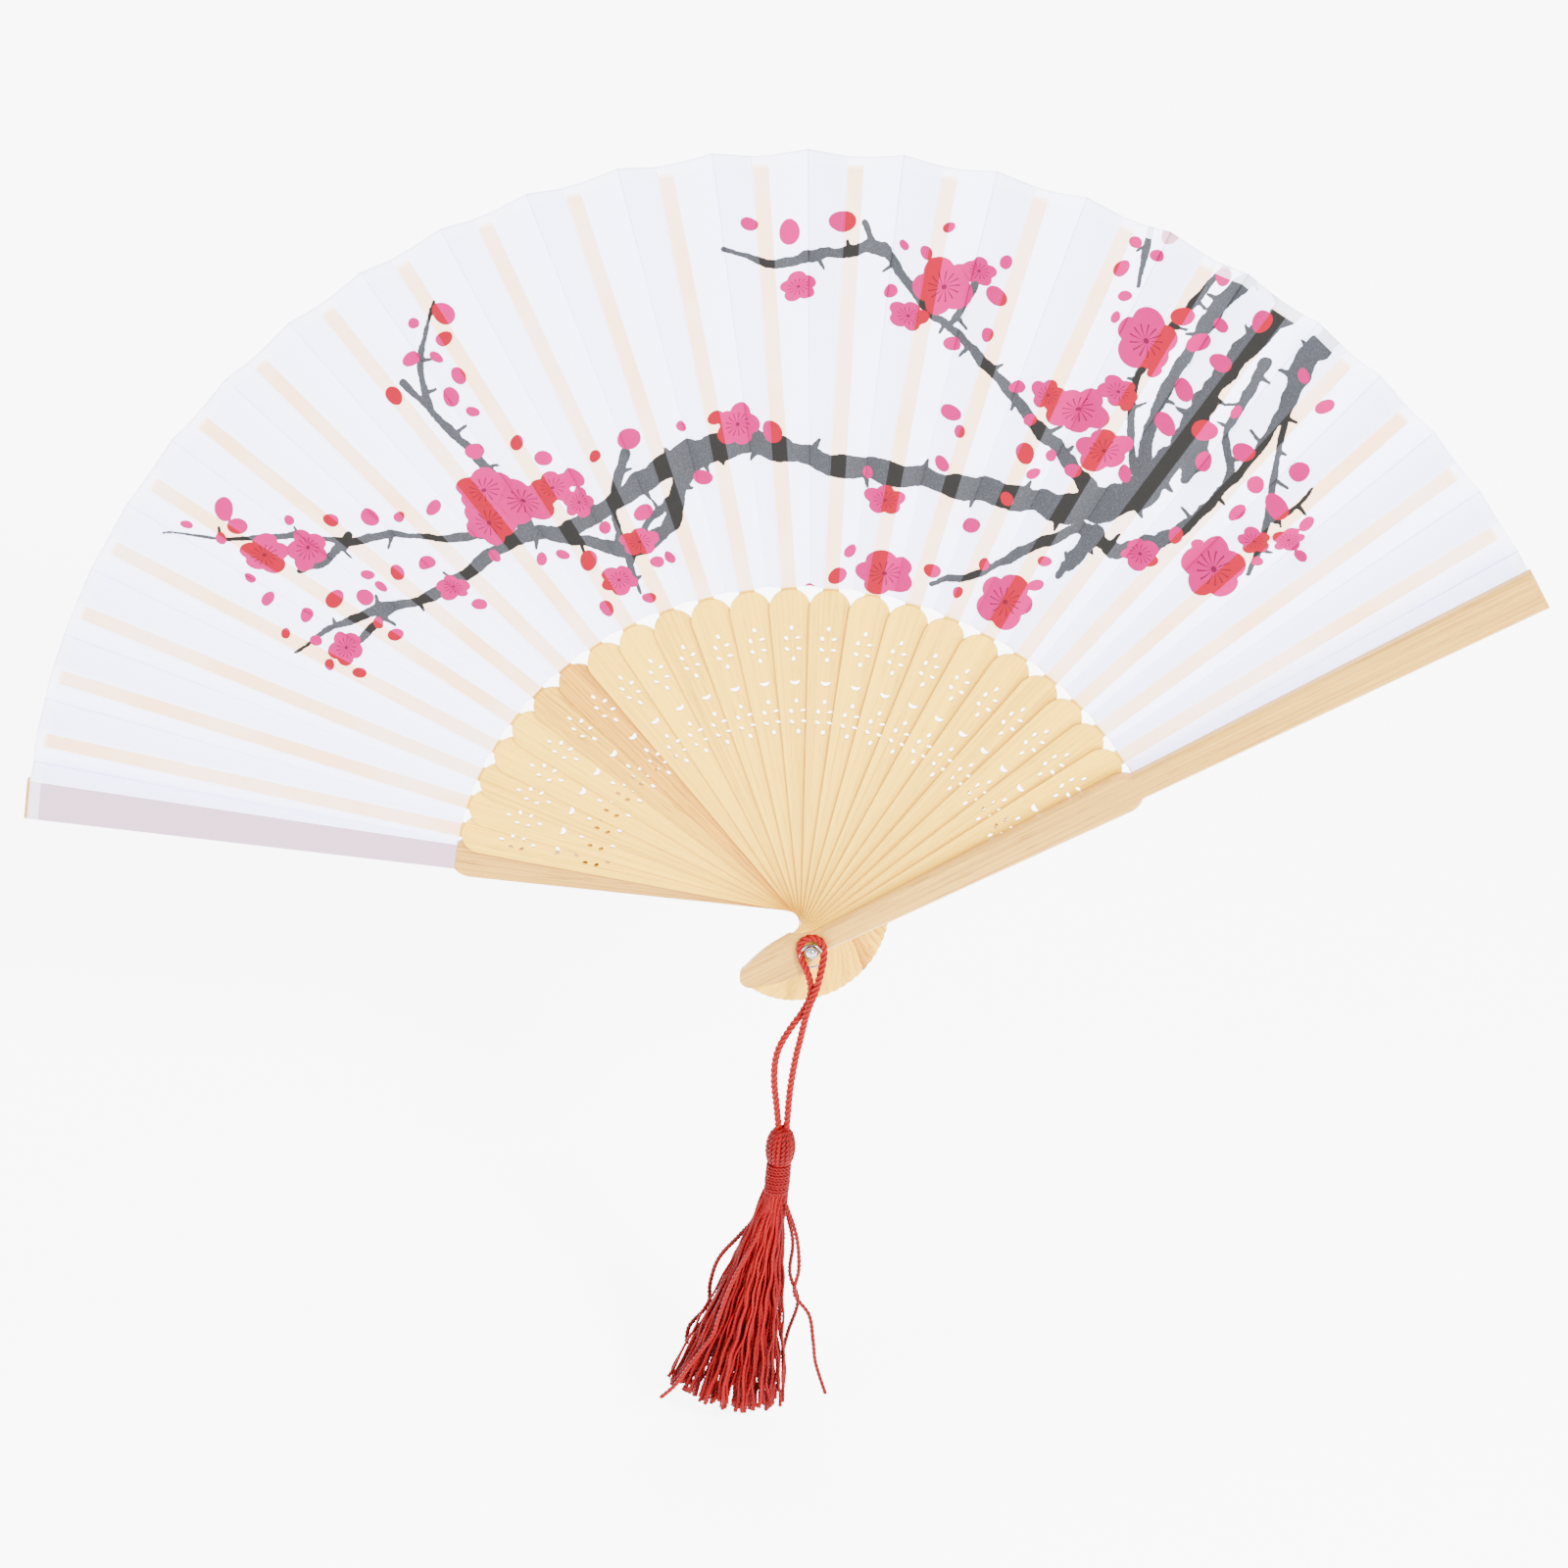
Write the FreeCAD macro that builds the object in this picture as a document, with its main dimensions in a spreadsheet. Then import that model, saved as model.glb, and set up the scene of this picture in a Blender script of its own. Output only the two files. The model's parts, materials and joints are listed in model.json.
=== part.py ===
"""A hand-held folding fan: bamboo sticks on one rivet, a pleated cloth leaf and a cord with a tassel.

The fan stands upright and open in the XZ plane and faces -Y.  The origin is on the rivet's axis, half-way
through the stack of sticks.  Every stick lies in its own thin layer along Y, so that the fan can close.
"""

import FreeCAD, Part
import math
import os
import Sketcher
from FreeCAD import Placement, Rotation, Vector

RIBS = 23

DIMENSIONS = [
    ("stick_reach", 191.0, "rivet to the tip of a guard"),
    ("head_reach", 19.2, "rivet to the end of a head"),
    ("head_half", 4.9, "half width of a head at its shoulder"),
    ("head_tip", 2.5, "radius of a head's round tip"),
    ("neck_half", 2.6, "half width of the neck beside the rivet"),
    ("neck_start", 3.2, "rivet to the head's shoulder"),
    ("neck_end", 4.0, "rivet to the narrowest place"),
    ("blade_half", 4.85, "half width of a blade"),
    ("blade_reach", 86.5, "rivet to the crown of a blade"),
    ("slip_half", 1.9, "half width of a slip"),
    ("slip_reach", 188.6, "rivet to the end of a slip"),
    ("slip_root", 80.0, "rivet to the foot of a slip"),
    ("rib_thick", 0.87, "thickness of a blade"),
    ("slip_thick", 0.45, "thickness of a slip"),
    ("rib_pitch", 0.95, "from one rib's layer to the next"),
    ("guard_thick", 3.0, "thickness of a guard"),
    ("guard_gap", 0.35, "room for the leaf beside each guard"),
    ("guard_stick_half", 3.2, "half width of a guard's upper stick at its foot"),
    ("guard_tip_half", 5.0, "half width of a guard's tip"),
    ("guard_bevel", 0.7, "bevel along a guard's outer face"),
    ("hole_bore", 1.2, "radius of the rivet hole"),
    ("shank_bore", 1.15, "radius of the rivet's shank"),
    ("dome_size", 1.65, "radius of the rivet's front dome"),
    ("back_size", 2.6, "radius of the rivet's back head"),
    ("front_room", 1.9, "front guard to the rivet's dome, room for the cord"),
    ("first_angle", 28.4, "front guard above the horizontal, degrees"),
    ("end_step", 4.95, "angle between sticks at the ends of the fan, degrees"),
    ("step_bulge", 1.6, "how much wider the steps are in the middle, degrees"),
    ("leaf_inner", 87.0, "rivet to the leaf's inner edge"),
    ("leaf_outer", 190.4, "rivet to the leaf's rim"),
    ("leaf_thick", 0.2, "thickness of the cloth"),
    ("fold_depth", 4.2, "how far a back fold lies behind a front fold at the rim"),
    ("inner_depth", 0.6, "the same at the leaf's inner edge"),
    ("petal_long", 0.68, "half length of a pierced petal"),
    ("petal_short", 0.43, "half width of a pierced petal"),
    ("ring_size", 2.85, "radius of the wire ring"),
    ("ring_wire", 0.27, "radius of the ring's wire"),
    ("cord_size", 0.85, "radius of the cord"),
    ("knot_size", 3.4, "radius of the tassel's head"),
    ("knot_half", 5.4, "half height of the tassel's head"),
    ("wrap_size", 2.9, "radius of the tassel's neck wrap"),
    ("wrap_long", 8.0, "length of the neck wrap"),
    ("skirt_long", 57.5, "length of the tassel's skirt"),
    ("skirt_size", 14.0, "radius of the skirt's foot"),
]


doc = FreeCAD.newDocument("folding_fan")
sheet = doc.addObject("Spreadsheet::Sheet", "sheet")
for row, (alias, value, note) in enumerate(DIMENSIONS, start=1):
    sheet.set("A%d" % row, note)
    sheet.set("B%d" % row, str(value))
    sheet.setAlias("B%d" % row, alias)
doc.recompute()
size = {alias: float(sheet.get(alias)) for alias, _, _ in DIMENSIONS}
nodes = []

STACK_THICK = 2 * (size["guard_thick"] + size["guard_gap"]) + RIBS * size["rib_pitch"]
STACK_FRONT = -STACK_THICK / 2


def node(thing, name):
    """Name a finished sub-part after its node."""
    thing.Label = name
    nodes.append(thing)
    return thing


def bind(thing, **links):
    """Tie properties of an object to expressions of the sheet."""
    for prop, expression in links.items():
        thing.setExpression(prop, expression)


# --------------------------------------------------------------------------- where each stick lies

def step(index):
    """Angle between stick index-1 and stick index; the fan is spread a little wider in its middle."""
    across = (index - 0.5) / (RIBS + 1)
    return size["end_step"] + size["step_bulge"] * math.sin(math.pi * across)


def stick_angle(index):
    """Angle of a stick above +X: 0 is the front guard, 1 to RIBS the ribs, RIBS + 1 the rear guard."""
    return size["first_angle"] + sum(step(i) for i in range(1, index + 1))


def layer_front(index):
    """Y of a stick's front face."""
    if index == 0:
        return STACK_FRONT
    first = STACK_FRONT + size["guard_thick"] + size["guard_gap"]
    extra = size["guard_gap"] if index == RIBS + 1 else 0
    return first + (index - 1) * size["rib_pitch"] + extra


def stick_place(index):
    """Placement that lays a stick drawn along +X, thick along +Z, in its layer and at its angle."""
    turn = Rotation(Vector(0, 1, 0), -stick_angle(index)) * Rotation(Vector(1, 0, 0), -90)
    return Placement(Vector(0, layer_front(index), 0), turn)


# --------------------------------------------------------------------------- sketch helpers

def new_sketch(body, name):
    """A sketch on the body's own XY plane."""
    sketch = body.newObject("Sketcher::SketchObject", name)
    plane = [f for f in body.Origin.OriginFeatures if f.Role == "XY_Plane"][0]
    sketch.AttachmentSupport = [(plane, "")]
    sketch.MapMode = "FlatFace"
    return sketch


def line(sketch, start, end):
    return sketch.addGeometry(Part.LineSegment(Vector(*start, 0), Vector(*end, 0)))


def bow(sketch, start, middle, end):
    return sketch.addGeometry(Part.Arc(Vector(*start, 0), Vector(*middle, 0), Vector(*end, 0)))


def circle(sketch, centre, radius):
    return sketch.addGeometry(Part.Circle(Vector(*centre, 0), Vector(0, 0, 1), radius))


def ellipse(sketch, centre, along, across, turn):
    """A full ellipse whose long half axis points turn degrees from the stick's length."""
    way = Vector(math.cos(math.radians(turn)), math.sin(math.radians(turn)), 0)
    side = Vector(-way.y, way.x, 0)
    middle = Vector(*centre, 0)
    return sketch.addGeometry(Part.Ellipse(middle + way * along, middle + side * across, middle))


def hold_radius(sketch, edge, alias):
    """A radius constraint that follows the sheet."""
    sketch.addConstraint(Sketcher.Constraint("Radius", edge, size[alias]))
    sketch.setExpression("Constraints[%d]" % (sketch.ConstraintCount - 1), "sheet." + alias)


def head_and_neck(sketch):
    """The head, which narrows to its round tip, from the neck's upper side round to its lower side."""
    half, neck, tip = size["head_half"], size["neck_half"], size["head_tip"]
    centre = tip - size["head_reach"]
    shoulder, waist = -size["neck_start"], size["neck_end"]
    hollow = ((shoulder + waist) / 2 - 0.9, (half + neck) / 2 - 0.45)
    swell = ((shoulder + centre) / 2, (half + tip) / 2 + 0.75)
    bow(sketch, (waist, neck), hollow, (shoulder, half))
    bow(sketch, (shoulder, half), swell, (centre, tip))
    end = bow(sketch, (centre, tip), (-size["head_reach"], 0), (centre, -tip))
    bow(sketch, (centre, -tip), (swell[0], -swell[1]), (shoulder, -half))
    bow(sketch, (shoulder, -half), (hollow[0], -hollow[1]), (waist, -neck))
    hold_radius(sketch, end, "head_tip")
    return (waist, neck)


def pad(body, sketch, length):
    """Pad a sketch towards +Z by an expression of the sheet."""
    feature = body.newObject("PartDesign::Pad", "Pad")
    feature.Profile = sketch
    bind(feature, Length=length)
    return feature


# --------------------------------------------------------------------------- ribs

def pierce_flower(sketch, middle):
    """Six petals: one towards each end of the rib and four beside them."""
    for turn, reach in [(0, 3.9), (45, 1.95), (135, 1.95), (180, 3.9), (225, 1.95), (315, 1.95)]:
        x = middle + reach * math.cos(math.radians(turn))
        y = reach * math.sin(math.radians(turn))
        slant = turn if turn % 180 == 0 else 90 + (turn - 90) * 0.35
        ellipse(sketch, (x, y), size["petal_long"], size["petal_short"], slant)


def rib(index):
    """One rib: head, blade with a round crown, pierced work, and the thin slip that the leaf is glued to."""
    body = doc.addObject("PartDesign::Body", "rib")
    outline = new_sketch(body, "outline")
    waist = head_and_neck(outline)
    half = size["blade_half"]
    crown = size["blade_reach"] - half
    line(outline, waist, (crown, half))
    top = bow(outline, (crown, half), (size["blade_reach"], 0), (crown, -half))
    line(outline, (crown, -half), (waist[0], -waist[1]))
    hold_radius(outline, top, "blade_half")
    hole = circle(outline, (0, 0), size["hole_bore"])
    hold_radius(outline, hole, "hole_bore")
    pad(body, outline, "sheet.rib_thick")

    slip = new_sketch(body, "slip")
    foot, end, side = size["slip_root"], size["slip_reach"], size["slip_half"]
    line(slip, (foot, -side), (end, -side))
    line(slip, (end, -side), (end, side))
    line(slip, (end, side), (foot, side))
    line(slip, (foot, side), (foot, -side))
    bind(slip, **{"AttachmentOffset.Base.z": "sheet.rib_thick - sheet.slip_thick"})
    pad(body, slip, "sheet.slip_thick")

    work = new_sketch(body, "pierced_work")
    reach = size["blade_reach"]
    pierce_flower(work, reach - 13.6)
    pierce_flower(work, reach - 32.0)
    heart = reach - 22.8
    bow(work, (heart, -1.1), (heart - 1.35, 0), (heart, 1.1))
    bow(work, (heart, 1.1), (heart - 0.25, 0), (heart, -1.1))
    cut = body.newObject("PartDesign::Pocket", "Pocket")
    cut.Profile = work
    cut.Type = "ThroughAll"
    cut.Reversed = True
    body.Placement = stick_place(index)
    return node(body, "rib_%02d" % index)


# --------------------------------------------------------------------------- guards

def guard(index, name, outer_is_front):
    """An outermost stick: same head and blade as a rib, a round shoulder, and a stick that widens to its tip."""
    body = doc.addObject("PartDesign::Body", "guard")
    outline = new_sketch(body, "outline")
    waist = head_and_neck(outline)
    half, foot, tip = size["blade_half"], size["guard_stick_half"], size["guard_tip_half"]
    shoulder = size["blade_reach"] - 4.0
    reach = size["stick_reach"]
    for side in (1, -1):
        line(outline, (waist[0], side * waist[1]), (shoulder, side * half))
        bow(outline, (shoulder, side * half), (shoulder + 2.4, side * (half - 0.35)),
            (shoulder + 4.4, side * foot))
        line(outline, (shoulder + 4.4, side * foot), (reach, side * tip))
    line(outline, (reach, tip), (reach, -tip))
    hole = circle(outline, (0, 0), size["hole_bore"])
    hold_radius(outline, hole, "hole_bore")
    block = pad(body, outline, "sheet.guard_thick")
    doc.recompute()
    level = 0.0 if outer_is_front else size["guard_thick"]
    rim = [
        "Edge%d" % (i + 1)
        for i, edge in enumerate(block.Shape.Edges)
        if abs(edge.BoundBox.ZMin - level) < 1e-6
        and abs(edge.BoundBox.ZMax - level) < 1e-6
        and edge.BoundBox.XMax > 3
    ]
    bevel = body.newObject("PartDesign::Chamfer", "Chamfer")
    bevel.Base = (block, rim)
    bind(bevel, Size="sheet.guard_bevel")
    body.Placement = stick_place(index)
    return node(body, name)


# --------------------------------------------------------------------------- leaf

def on_stick(index, along, across, y):
    """A point beside a stick: along its length, across towards the front guard, at depth y."""
    angle = math.radians(stick_angle(index))
    return Vector(
        along * math.cos(angle) + across * math.sin(angle), y, along * math.sin(angle) - across * math.cos(angle)
    )


def guard_half(along):
    """Half width of a guard's upper stick."""
    foot = size["blade_reach"] + 0.4
    share = (along - foot) / (size["stick_reach"] - foot)
    return size["guard_stick_half"] + share * (size["guard_tip_half"] - size["guard_stick_half"])


def leaf_level(index):
    """Y of the middle of the cloth where it is glued to a stick."""
    half = size["leaf_thick"] / 2
    if index == 0:
        return STACK_FRONT + size["guard_thick"] + half + 0.02
    if index == RIBS + 1:
        return layer_front(index) - half
    return layer_front(index) + size["rib_thick"] - size["slip_thick"] - half


def pleat_line(index, along):
    """The cloth from one stick's front fold over its glued strip and the back fold to the next stick."""
    glued = guard_half(along) + 0.05 if index == RIBS + 1 else size["slip_half"] + 0.25
    level = leaf_level(index)
    points = [on_stick(index, along, -glued, level), on_stick(index, along, glued, level)]
    half_step = math.radians(step(index) / 2)
    share = (along - size["leaf_inner"]) / (size["leaf_outer"] - size["leaf_inner"])
    depth = size["inner_depth"] + share * (size["fold_depth"] - size["inner_depth"])
    points.append(on_stick(index, along * math.cos(half_step), along * math.sin(half_step), level + depth))
    if index == 1:
        width = guard_half(along)
        points.append(on_stick(0, along, -width, leaf_level(0)))
        points.append(on_stick(0, along, width - 0.4, leaf_level(0)))
    else:
        points.append(on_stick(index - 1, along, -size["slip_half"] - 0.5, leaf_level(index - 1)))
    return points


def pleat(index):
    """Two pleats of cloth, from one stick's front fold to the next one's: a thin solid ruled along its length."""
    shift = Vector(0, size["leaf_thick"] / 2, 0)
    inner = pleat_line(index, size["leaf_inner"])
    outer = pleat_line(index, size["leaf_outer"])
    solids = []
    for j in range(len(inner) - 1):
        a, b, c, d = inner[j], inner[j + 1], outer[j + 1], outer[j]
        faces = []
        front = [p - shift for p in (a, b, c, d)]
        back = [p + shift for p in (a, b, c, d)]
        for side in (front, back):
            low = Part.makeLine(side[0], side[1])
            high = Part.makeLine(side[3], side[2])
            faces.append(Part.makeRuledSurface(low, high))
        for m in range(4):
            n = (m + 1) % 4
            faces.append(Part.Face(Part.makePolygon([front[m], front[n], back[n], back[m], front[m]])))
        shell = Part.makeShell(faces)
        shell.sewShape()
        solid = Part.makeSolid(shell)
        if solid.Volume < 0:
            solid.reverse()
        solids.append(solid)
    cloth = doc.addObject("Part::Feature", "leaf")
    joined = solids[0].fuse(solids[1:])
    cloth.Shape = joined.removeSplitter()
    return node(cloth, "leaf_pleat_%02d" % index)


# --------------------------------------------------------------------------- rivet and ring

def along_y(y, turn=-90):
    """Placement that turns a primitive's +Z to +Y (turn -90) or to -Y (turn 90) at depth y."""
    return Placement(Vector(0, y, 0), Rotation(Vector(1, 0, 0), turn))


def rivet():
    """The shank through every head, with its closed head at the back; the front dome is a cap of its own."""
    front = STACK_FRONT - size["front_room"]
    back = -STACK_FRONT + 0.05
    shank = doc.addObject("Part::Cylinder", "shank")
    shank.Height = back - front
    bind(shank, Radius="sheet.shank_bore")
    shank.Placement = along_y(front)
    head = doc.addObject("Part::Cone", "back_head")
    bind(head, Radius1="sheet.back_size", Radius2="sheet.back_size * 0.55", Height="sheet.back_size * 0.4")
    head.Placement = along_y(back)
    whole = doc.addObject("Part::Fuse", "rivet")
    whole.Base = shank
    whole.Tool = head
    node(whole, "rivet")
    dome = doc.addObject("Part::Sphere", "dome")
    dome.Angle1 = 0
    dome.Angle2 = 90
    bind(dome, Radius="sheet.dome_size")
    dome.Placement = along_y(front, 90)
    node(dome, "rivet_dome")


RING_Y = STACK_FRONT - 1.55
RING_Z = size["shank_bore"] + 0.06 + size["ring_wire"] - size["ring_size"]


def ring():
    """A wire ring that hangs on the shank behind the dome."""
    loop = doc.addObject("Part::Torus", "ring")
    bind(loop, Radius1="sheet.ring_size", Radius2="sheet.ring_wire")
    loop.Placement = Placement(Vector(0, RING_Y, RING_Z), Rotation(Vector(1, 0, 0), 90))
    return node(loop, "wire_ring")


# --------------------------------------------------------------------------- cord and tassel

BACK_Y = STACK_FRONT - 1.0
HANG_Y = STACK_FRONT - 2.9

# The cord leaves the tassel's head, goes up on the left, over the rivet's shank and down on the right.
CORD_ROUTE = [
    (-7.9, HANG_Y, -47.2),
    (-8.4, HANG_Y, -40.6),
    (-9.2, HANG_Y, -33.0),
    (-8.5, HANG_Y + 0.1, -26.0),
    (-5.4, HANG_Y + 0.6, -20.4),
    (-1.9, HANG_Y + 1.0, -15.6),
    (0.1, HANG_Y + 0.9, -11.0),
    (-0.6, HANG_Y + 0.3, -5.6),
    (-2.9, BACK_Y - 0.1, -1.4),
    (-2.7, BACK_Y, 2.2),
    (0.0, BACK_Y, 3.7),
    (2.7, BACK_Y, 2.2),
    (3.1, BACK_Y - 0.3, -1.2),
    (2.2, HANG_Y, -5.2),
    (0.9, HANG_Y - 0.7, -10.0),
    (-1.2, HANG_Y - 1.0, -15.0),
    (-2.4, HANG_Y - 0.6, -21.0),
    (-3.9, HANG_Y, -27.6),
    (-5.1, HANG_Y, -35.0),
    (-5.7, HANG_Y, -41.4),
    (-6.1, HANG_Y, -47.2),
]


def rounded_path(points):
    """Straight runs joined by tangent arcs, each as large as its two runs allow, and the radii used."""
    points = [Vector(*p) for p in points]
    edges, radii = [], []
    last = points[0]
    for before, corner, after in zip(points, points[1:], points[2:]):
        back, ahead = before - corner, after - corner
        shorter = min(back.Length, ahead.Length)
        turn = math.pi - back.getAngle(ahead)
        trim = 0.45 * shorter
        radii.append(trim / math.tan(turn / 2))
        back.normalize()
        ahead.normalize()
        start, end = corner + back * trim, corner + ahead * trim
        bisector = back + ahead
        bisector.normalize()
        depth = radii[-1] / math.cos(turn / 2) - radii[-1]
        edges.append(Part.LineSegment(last, start).toShape())
        edges.append(Part.Arc(start, corner + bisector * depth, end).toShape())
        last = end
    edges.append(Part.LineSegment(last, points[-1]).toShape())
    return Part.Wire(edges), radii


def cord():
    """The cord as a plain tube along its route."""
    path, radii = rounded_path(CORD_ROUTE)
    start = path.Edges[0]
    way = start.tangentAt(start.FirstParameter)
    section = Part.Wire(Part.makeCircle(size["cord_size"], Vector(*CORD_ROUTE[0]), way))
    tube = doc.addObject("Part::Feature", "cord")
    tube.Shape = path.makePipeShell([section], True, True)
    wanted = math.pi * size["cord_size"] ** 2 * path.Length
    print("cord: length %.1f mm, volume %.1f of %.1f mm3" % (path.Length, tube.Shape.Volume, wanted))
    print("cord: bend radii " + " ".join("%.1f" % r for r in radii))
    return node(tube, "cord")


TASSEL_X = -7.0
TASSEL_TOP = -46.4
TASSEL_LEAN = 5.0
SKIRT_LEAN = 15.0


def lean_place(x, z, lean):
    """Placement of a piece of the tassel whose +Z points up along the leaning tassel."""
    return Placement(Vector(x, HANG_Y, z), Rotation(Vector(0, 1, 0), lean))


def below(x, z, lean, distance):
    """The point a distance down the leaning tassel."""
    return x - distance * math.sin(math.radians(lean)), z - distance * math.cos(math.radians(lean))


def tassel():
    """The wound head, the wrap round the neck, and the skirt's plain outer shape."""
    drop = size["knot_half"]
    x, z = below(TASSEL_X, TASSEL_TOP, TASSEL_LEAN, drop)
    knot = doc.addObject("Part::Ellipsoid", "knot")
    bind(knot, Radius1="sheet.knot_half", Radius2="sheet.knot_size")
    bind(knot, Radius3="sheet.knot_size")
    knot.Angle1 = -50
    knot.Placement = lean_place(x, z, TASSEL_LEAN)
    node(knot, "tassel_head")
    cut = size["knot_half"] * math.sin(math.radians(50))
    x, z = below(x, z, TASSEL_LEAN, cut + 0.01 + size["wrap_long"])
    wrap = doc.addObject("Part::Cylinder", "wrap")
    bind(wrap, Radius="sheet.wrap_size", Height="sheet.wrap_long")
    wrap.Placement = lean_place(x, z, TASSEL_LEAN)
    node(wrap, "tassel_wrap")
    sink = size["wrap_size"] * math.sin(math.radians(SKIRT_LEAN - TASSEL_LEAN)) + 0.05
    x, z = below(x, z, SKIRT_LEAN, sink + size["skirt_long"])
    skirt = doc.addObject("Part::Cone", "skirt")
    bind(skirt, Radius1="sheet.skirt_size", Radius2="sheet.wrap_size", Height="sheet.skirt_long")
    skirt.Placement = lean_place(x, z, SKIRT_LEAN)
    node(skirt, "tassel_skirt")


# --------------------------------------------------------------------------- build and write

guard(0, "front_guard", True)
for number in range(1, RIBS + 1):
    rib(number)
guard(RIBS + 1, "rear_guard", False)
for number in range(1, RIBS + 2):
    pleat(number)
rivet()
ring()
cord()
tassel()
doc.recompute()

for thing in doc.Objects:
    if "Invalid" in thing.State or "Error" in thing.State:
        raise RuntimeError("%s failed: %s" % (thing.Label, thing.State))
os.makedirs("parts", exist_ok=True)
for thing in nodes:
    if thing.Shape.isNull() or not thing.Shape.isValid():
        raise RuntimeError("%s has no valid shape" % thing.Label)
    if len(thing.Shape.Solids) != 1:
        raise RuntimeError("%s has %d solids" % (thing.Label, len(thing.Shape.Solids)))
    thing.Shape.exportStep("parts/%s.step" % thing.Label)
print("%d nodes" % len(nodes))
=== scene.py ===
"""Folding fan: bamboo sticks, a printed cloth leaf in pleats, a red cord and its tassel."""

import json
import math

import bpy
import numpy as np
from bpy.props import FloatProperty, FloatVectorProperty, IntProperty, PointerProperty
from mathutils import Matrix, Vector

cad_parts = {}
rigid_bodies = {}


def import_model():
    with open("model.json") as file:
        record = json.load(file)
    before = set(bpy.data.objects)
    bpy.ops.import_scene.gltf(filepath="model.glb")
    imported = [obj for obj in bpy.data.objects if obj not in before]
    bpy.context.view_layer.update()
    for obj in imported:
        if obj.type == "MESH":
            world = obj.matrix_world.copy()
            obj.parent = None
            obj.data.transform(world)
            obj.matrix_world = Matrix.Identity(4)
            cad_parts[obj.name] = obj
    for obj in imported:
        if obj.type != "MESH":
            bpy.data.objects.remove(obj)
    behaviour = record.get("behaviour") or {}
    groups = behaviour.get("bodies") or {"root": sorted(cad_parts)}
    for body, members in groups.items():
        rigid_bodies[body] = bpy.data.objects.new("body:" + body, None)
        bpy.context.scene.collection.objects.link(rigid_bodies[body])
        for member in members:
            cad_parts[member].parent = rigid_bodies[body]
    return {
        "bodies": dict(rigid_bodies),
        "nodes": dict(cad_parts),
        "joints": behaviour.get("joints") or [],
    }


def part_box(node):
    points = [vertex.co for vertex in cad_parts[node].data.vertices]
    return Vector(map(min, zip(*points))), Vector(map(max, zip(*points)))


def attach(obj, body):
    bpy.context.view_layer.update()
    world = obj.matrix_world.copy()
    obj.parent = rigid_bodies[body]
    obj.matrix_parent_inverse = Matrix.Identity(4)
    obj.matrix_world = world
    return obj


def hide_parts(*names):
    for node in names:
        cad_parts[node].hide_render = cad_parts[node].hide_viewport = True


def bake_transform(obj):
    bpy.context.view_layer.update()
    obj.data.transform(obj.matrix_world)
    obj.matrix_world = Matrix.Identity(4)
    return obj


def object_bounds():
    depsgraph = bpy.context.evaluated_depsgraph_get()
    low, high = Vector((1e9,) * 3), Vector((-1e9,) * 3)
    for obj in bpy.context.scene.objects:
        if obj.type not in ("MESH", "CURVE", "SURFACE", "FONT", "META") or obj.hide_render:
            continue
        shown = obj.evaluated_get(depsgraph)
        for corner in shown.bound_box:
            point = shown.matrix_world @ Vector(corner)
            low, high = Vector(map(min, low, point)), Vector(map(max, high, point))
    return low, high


bl_info = {
    "name": "Folding Fan",
    "version": (1, 0, 0),
    "blender": (4, 5, 0),
    "location": "View3D > Sidebar > Fan",
    "description": "Finishes a bamboo folding fan: leaf, print, cord, tassel, materials and stage",
    "category": "Object",
}

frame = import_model()
CAD_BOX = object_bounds()
MM = 0.001
SEED = 11
GLUE_MARGIN = 0.25 * MM  # cloth glued beyond a slip's edge
GUARD_FOOT_HALF = 3.2 * MM  # half width of a guard's upper stick at its foot
GUARD_WIDENING = 1.8 * MM  # how much the half width grows up to its tip
WELD_REACH = 0.002 * MM  # joins the points that the CAD mesh repeats along its edges
TASSEL_LEAN = math.radians(5.0)
HEAD_TALL = 5.3 * MM  # half height of the tassel's head
WRAP_TALL = 7.6 * MM
WRAP_TURNS = 10
SKIRT_LONG = 59.5 * MM
SKIRT_NECK = 2.7 * MM  # half width of the skirt where it leaves the wrap
GOLDEN_ANGLE = math.pi * (3 - math.sqrt(5))


# ---------- what the frame says

RIBS = sum(1 for name in frame["bodies"] if name.startswith("rib_"))
STICKS = ["front_guard"] + ["rib_%02d" % k for k in range(1, RIBS + 1)] + ["rear_guard"]
LAST = RIBS + 1


def guard_angle():
    """Angle of the front guard above +X, from the middle of its tip."""
    places = np.array([v.co for v in frame["nodes"]["front_guard"].data.vertices])
    reach = np.hypot(places[:, 0], places[:, 2])
    tip = places[reach > reach.max() - 3 * MM].mean(axis=0)
    return math.atan2(tip[2], tip[0])


FOLD_JOINTS = [j for j in frame["joints"] if j["name"].startswith("fold")]
STEPS = [0.0] + [math.radians(j["range_deg"][1]) for j in FOLD_JOINTS]
ANGLES = [guard_angle() + sum(STEPS[: k + 1]) for k in range(LAST + 1)]
GUARD_REACH = max(v.co.length for v in frame["nodes"]["front_guard"].data.vertices)


# ---------- what a user would change

def length(name, description, millimetres):
    return FloatProperty(
        name=name, description=description, default=millimetres * MM, min=0, precision=5, subtype="DISTANCE"
    )


def colour(name, description, value):
    return FloatVectorProperty(
        name=name, description=description, default=value, size=3, min=0, max=1, subtype="COLOR"
    )


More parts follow.
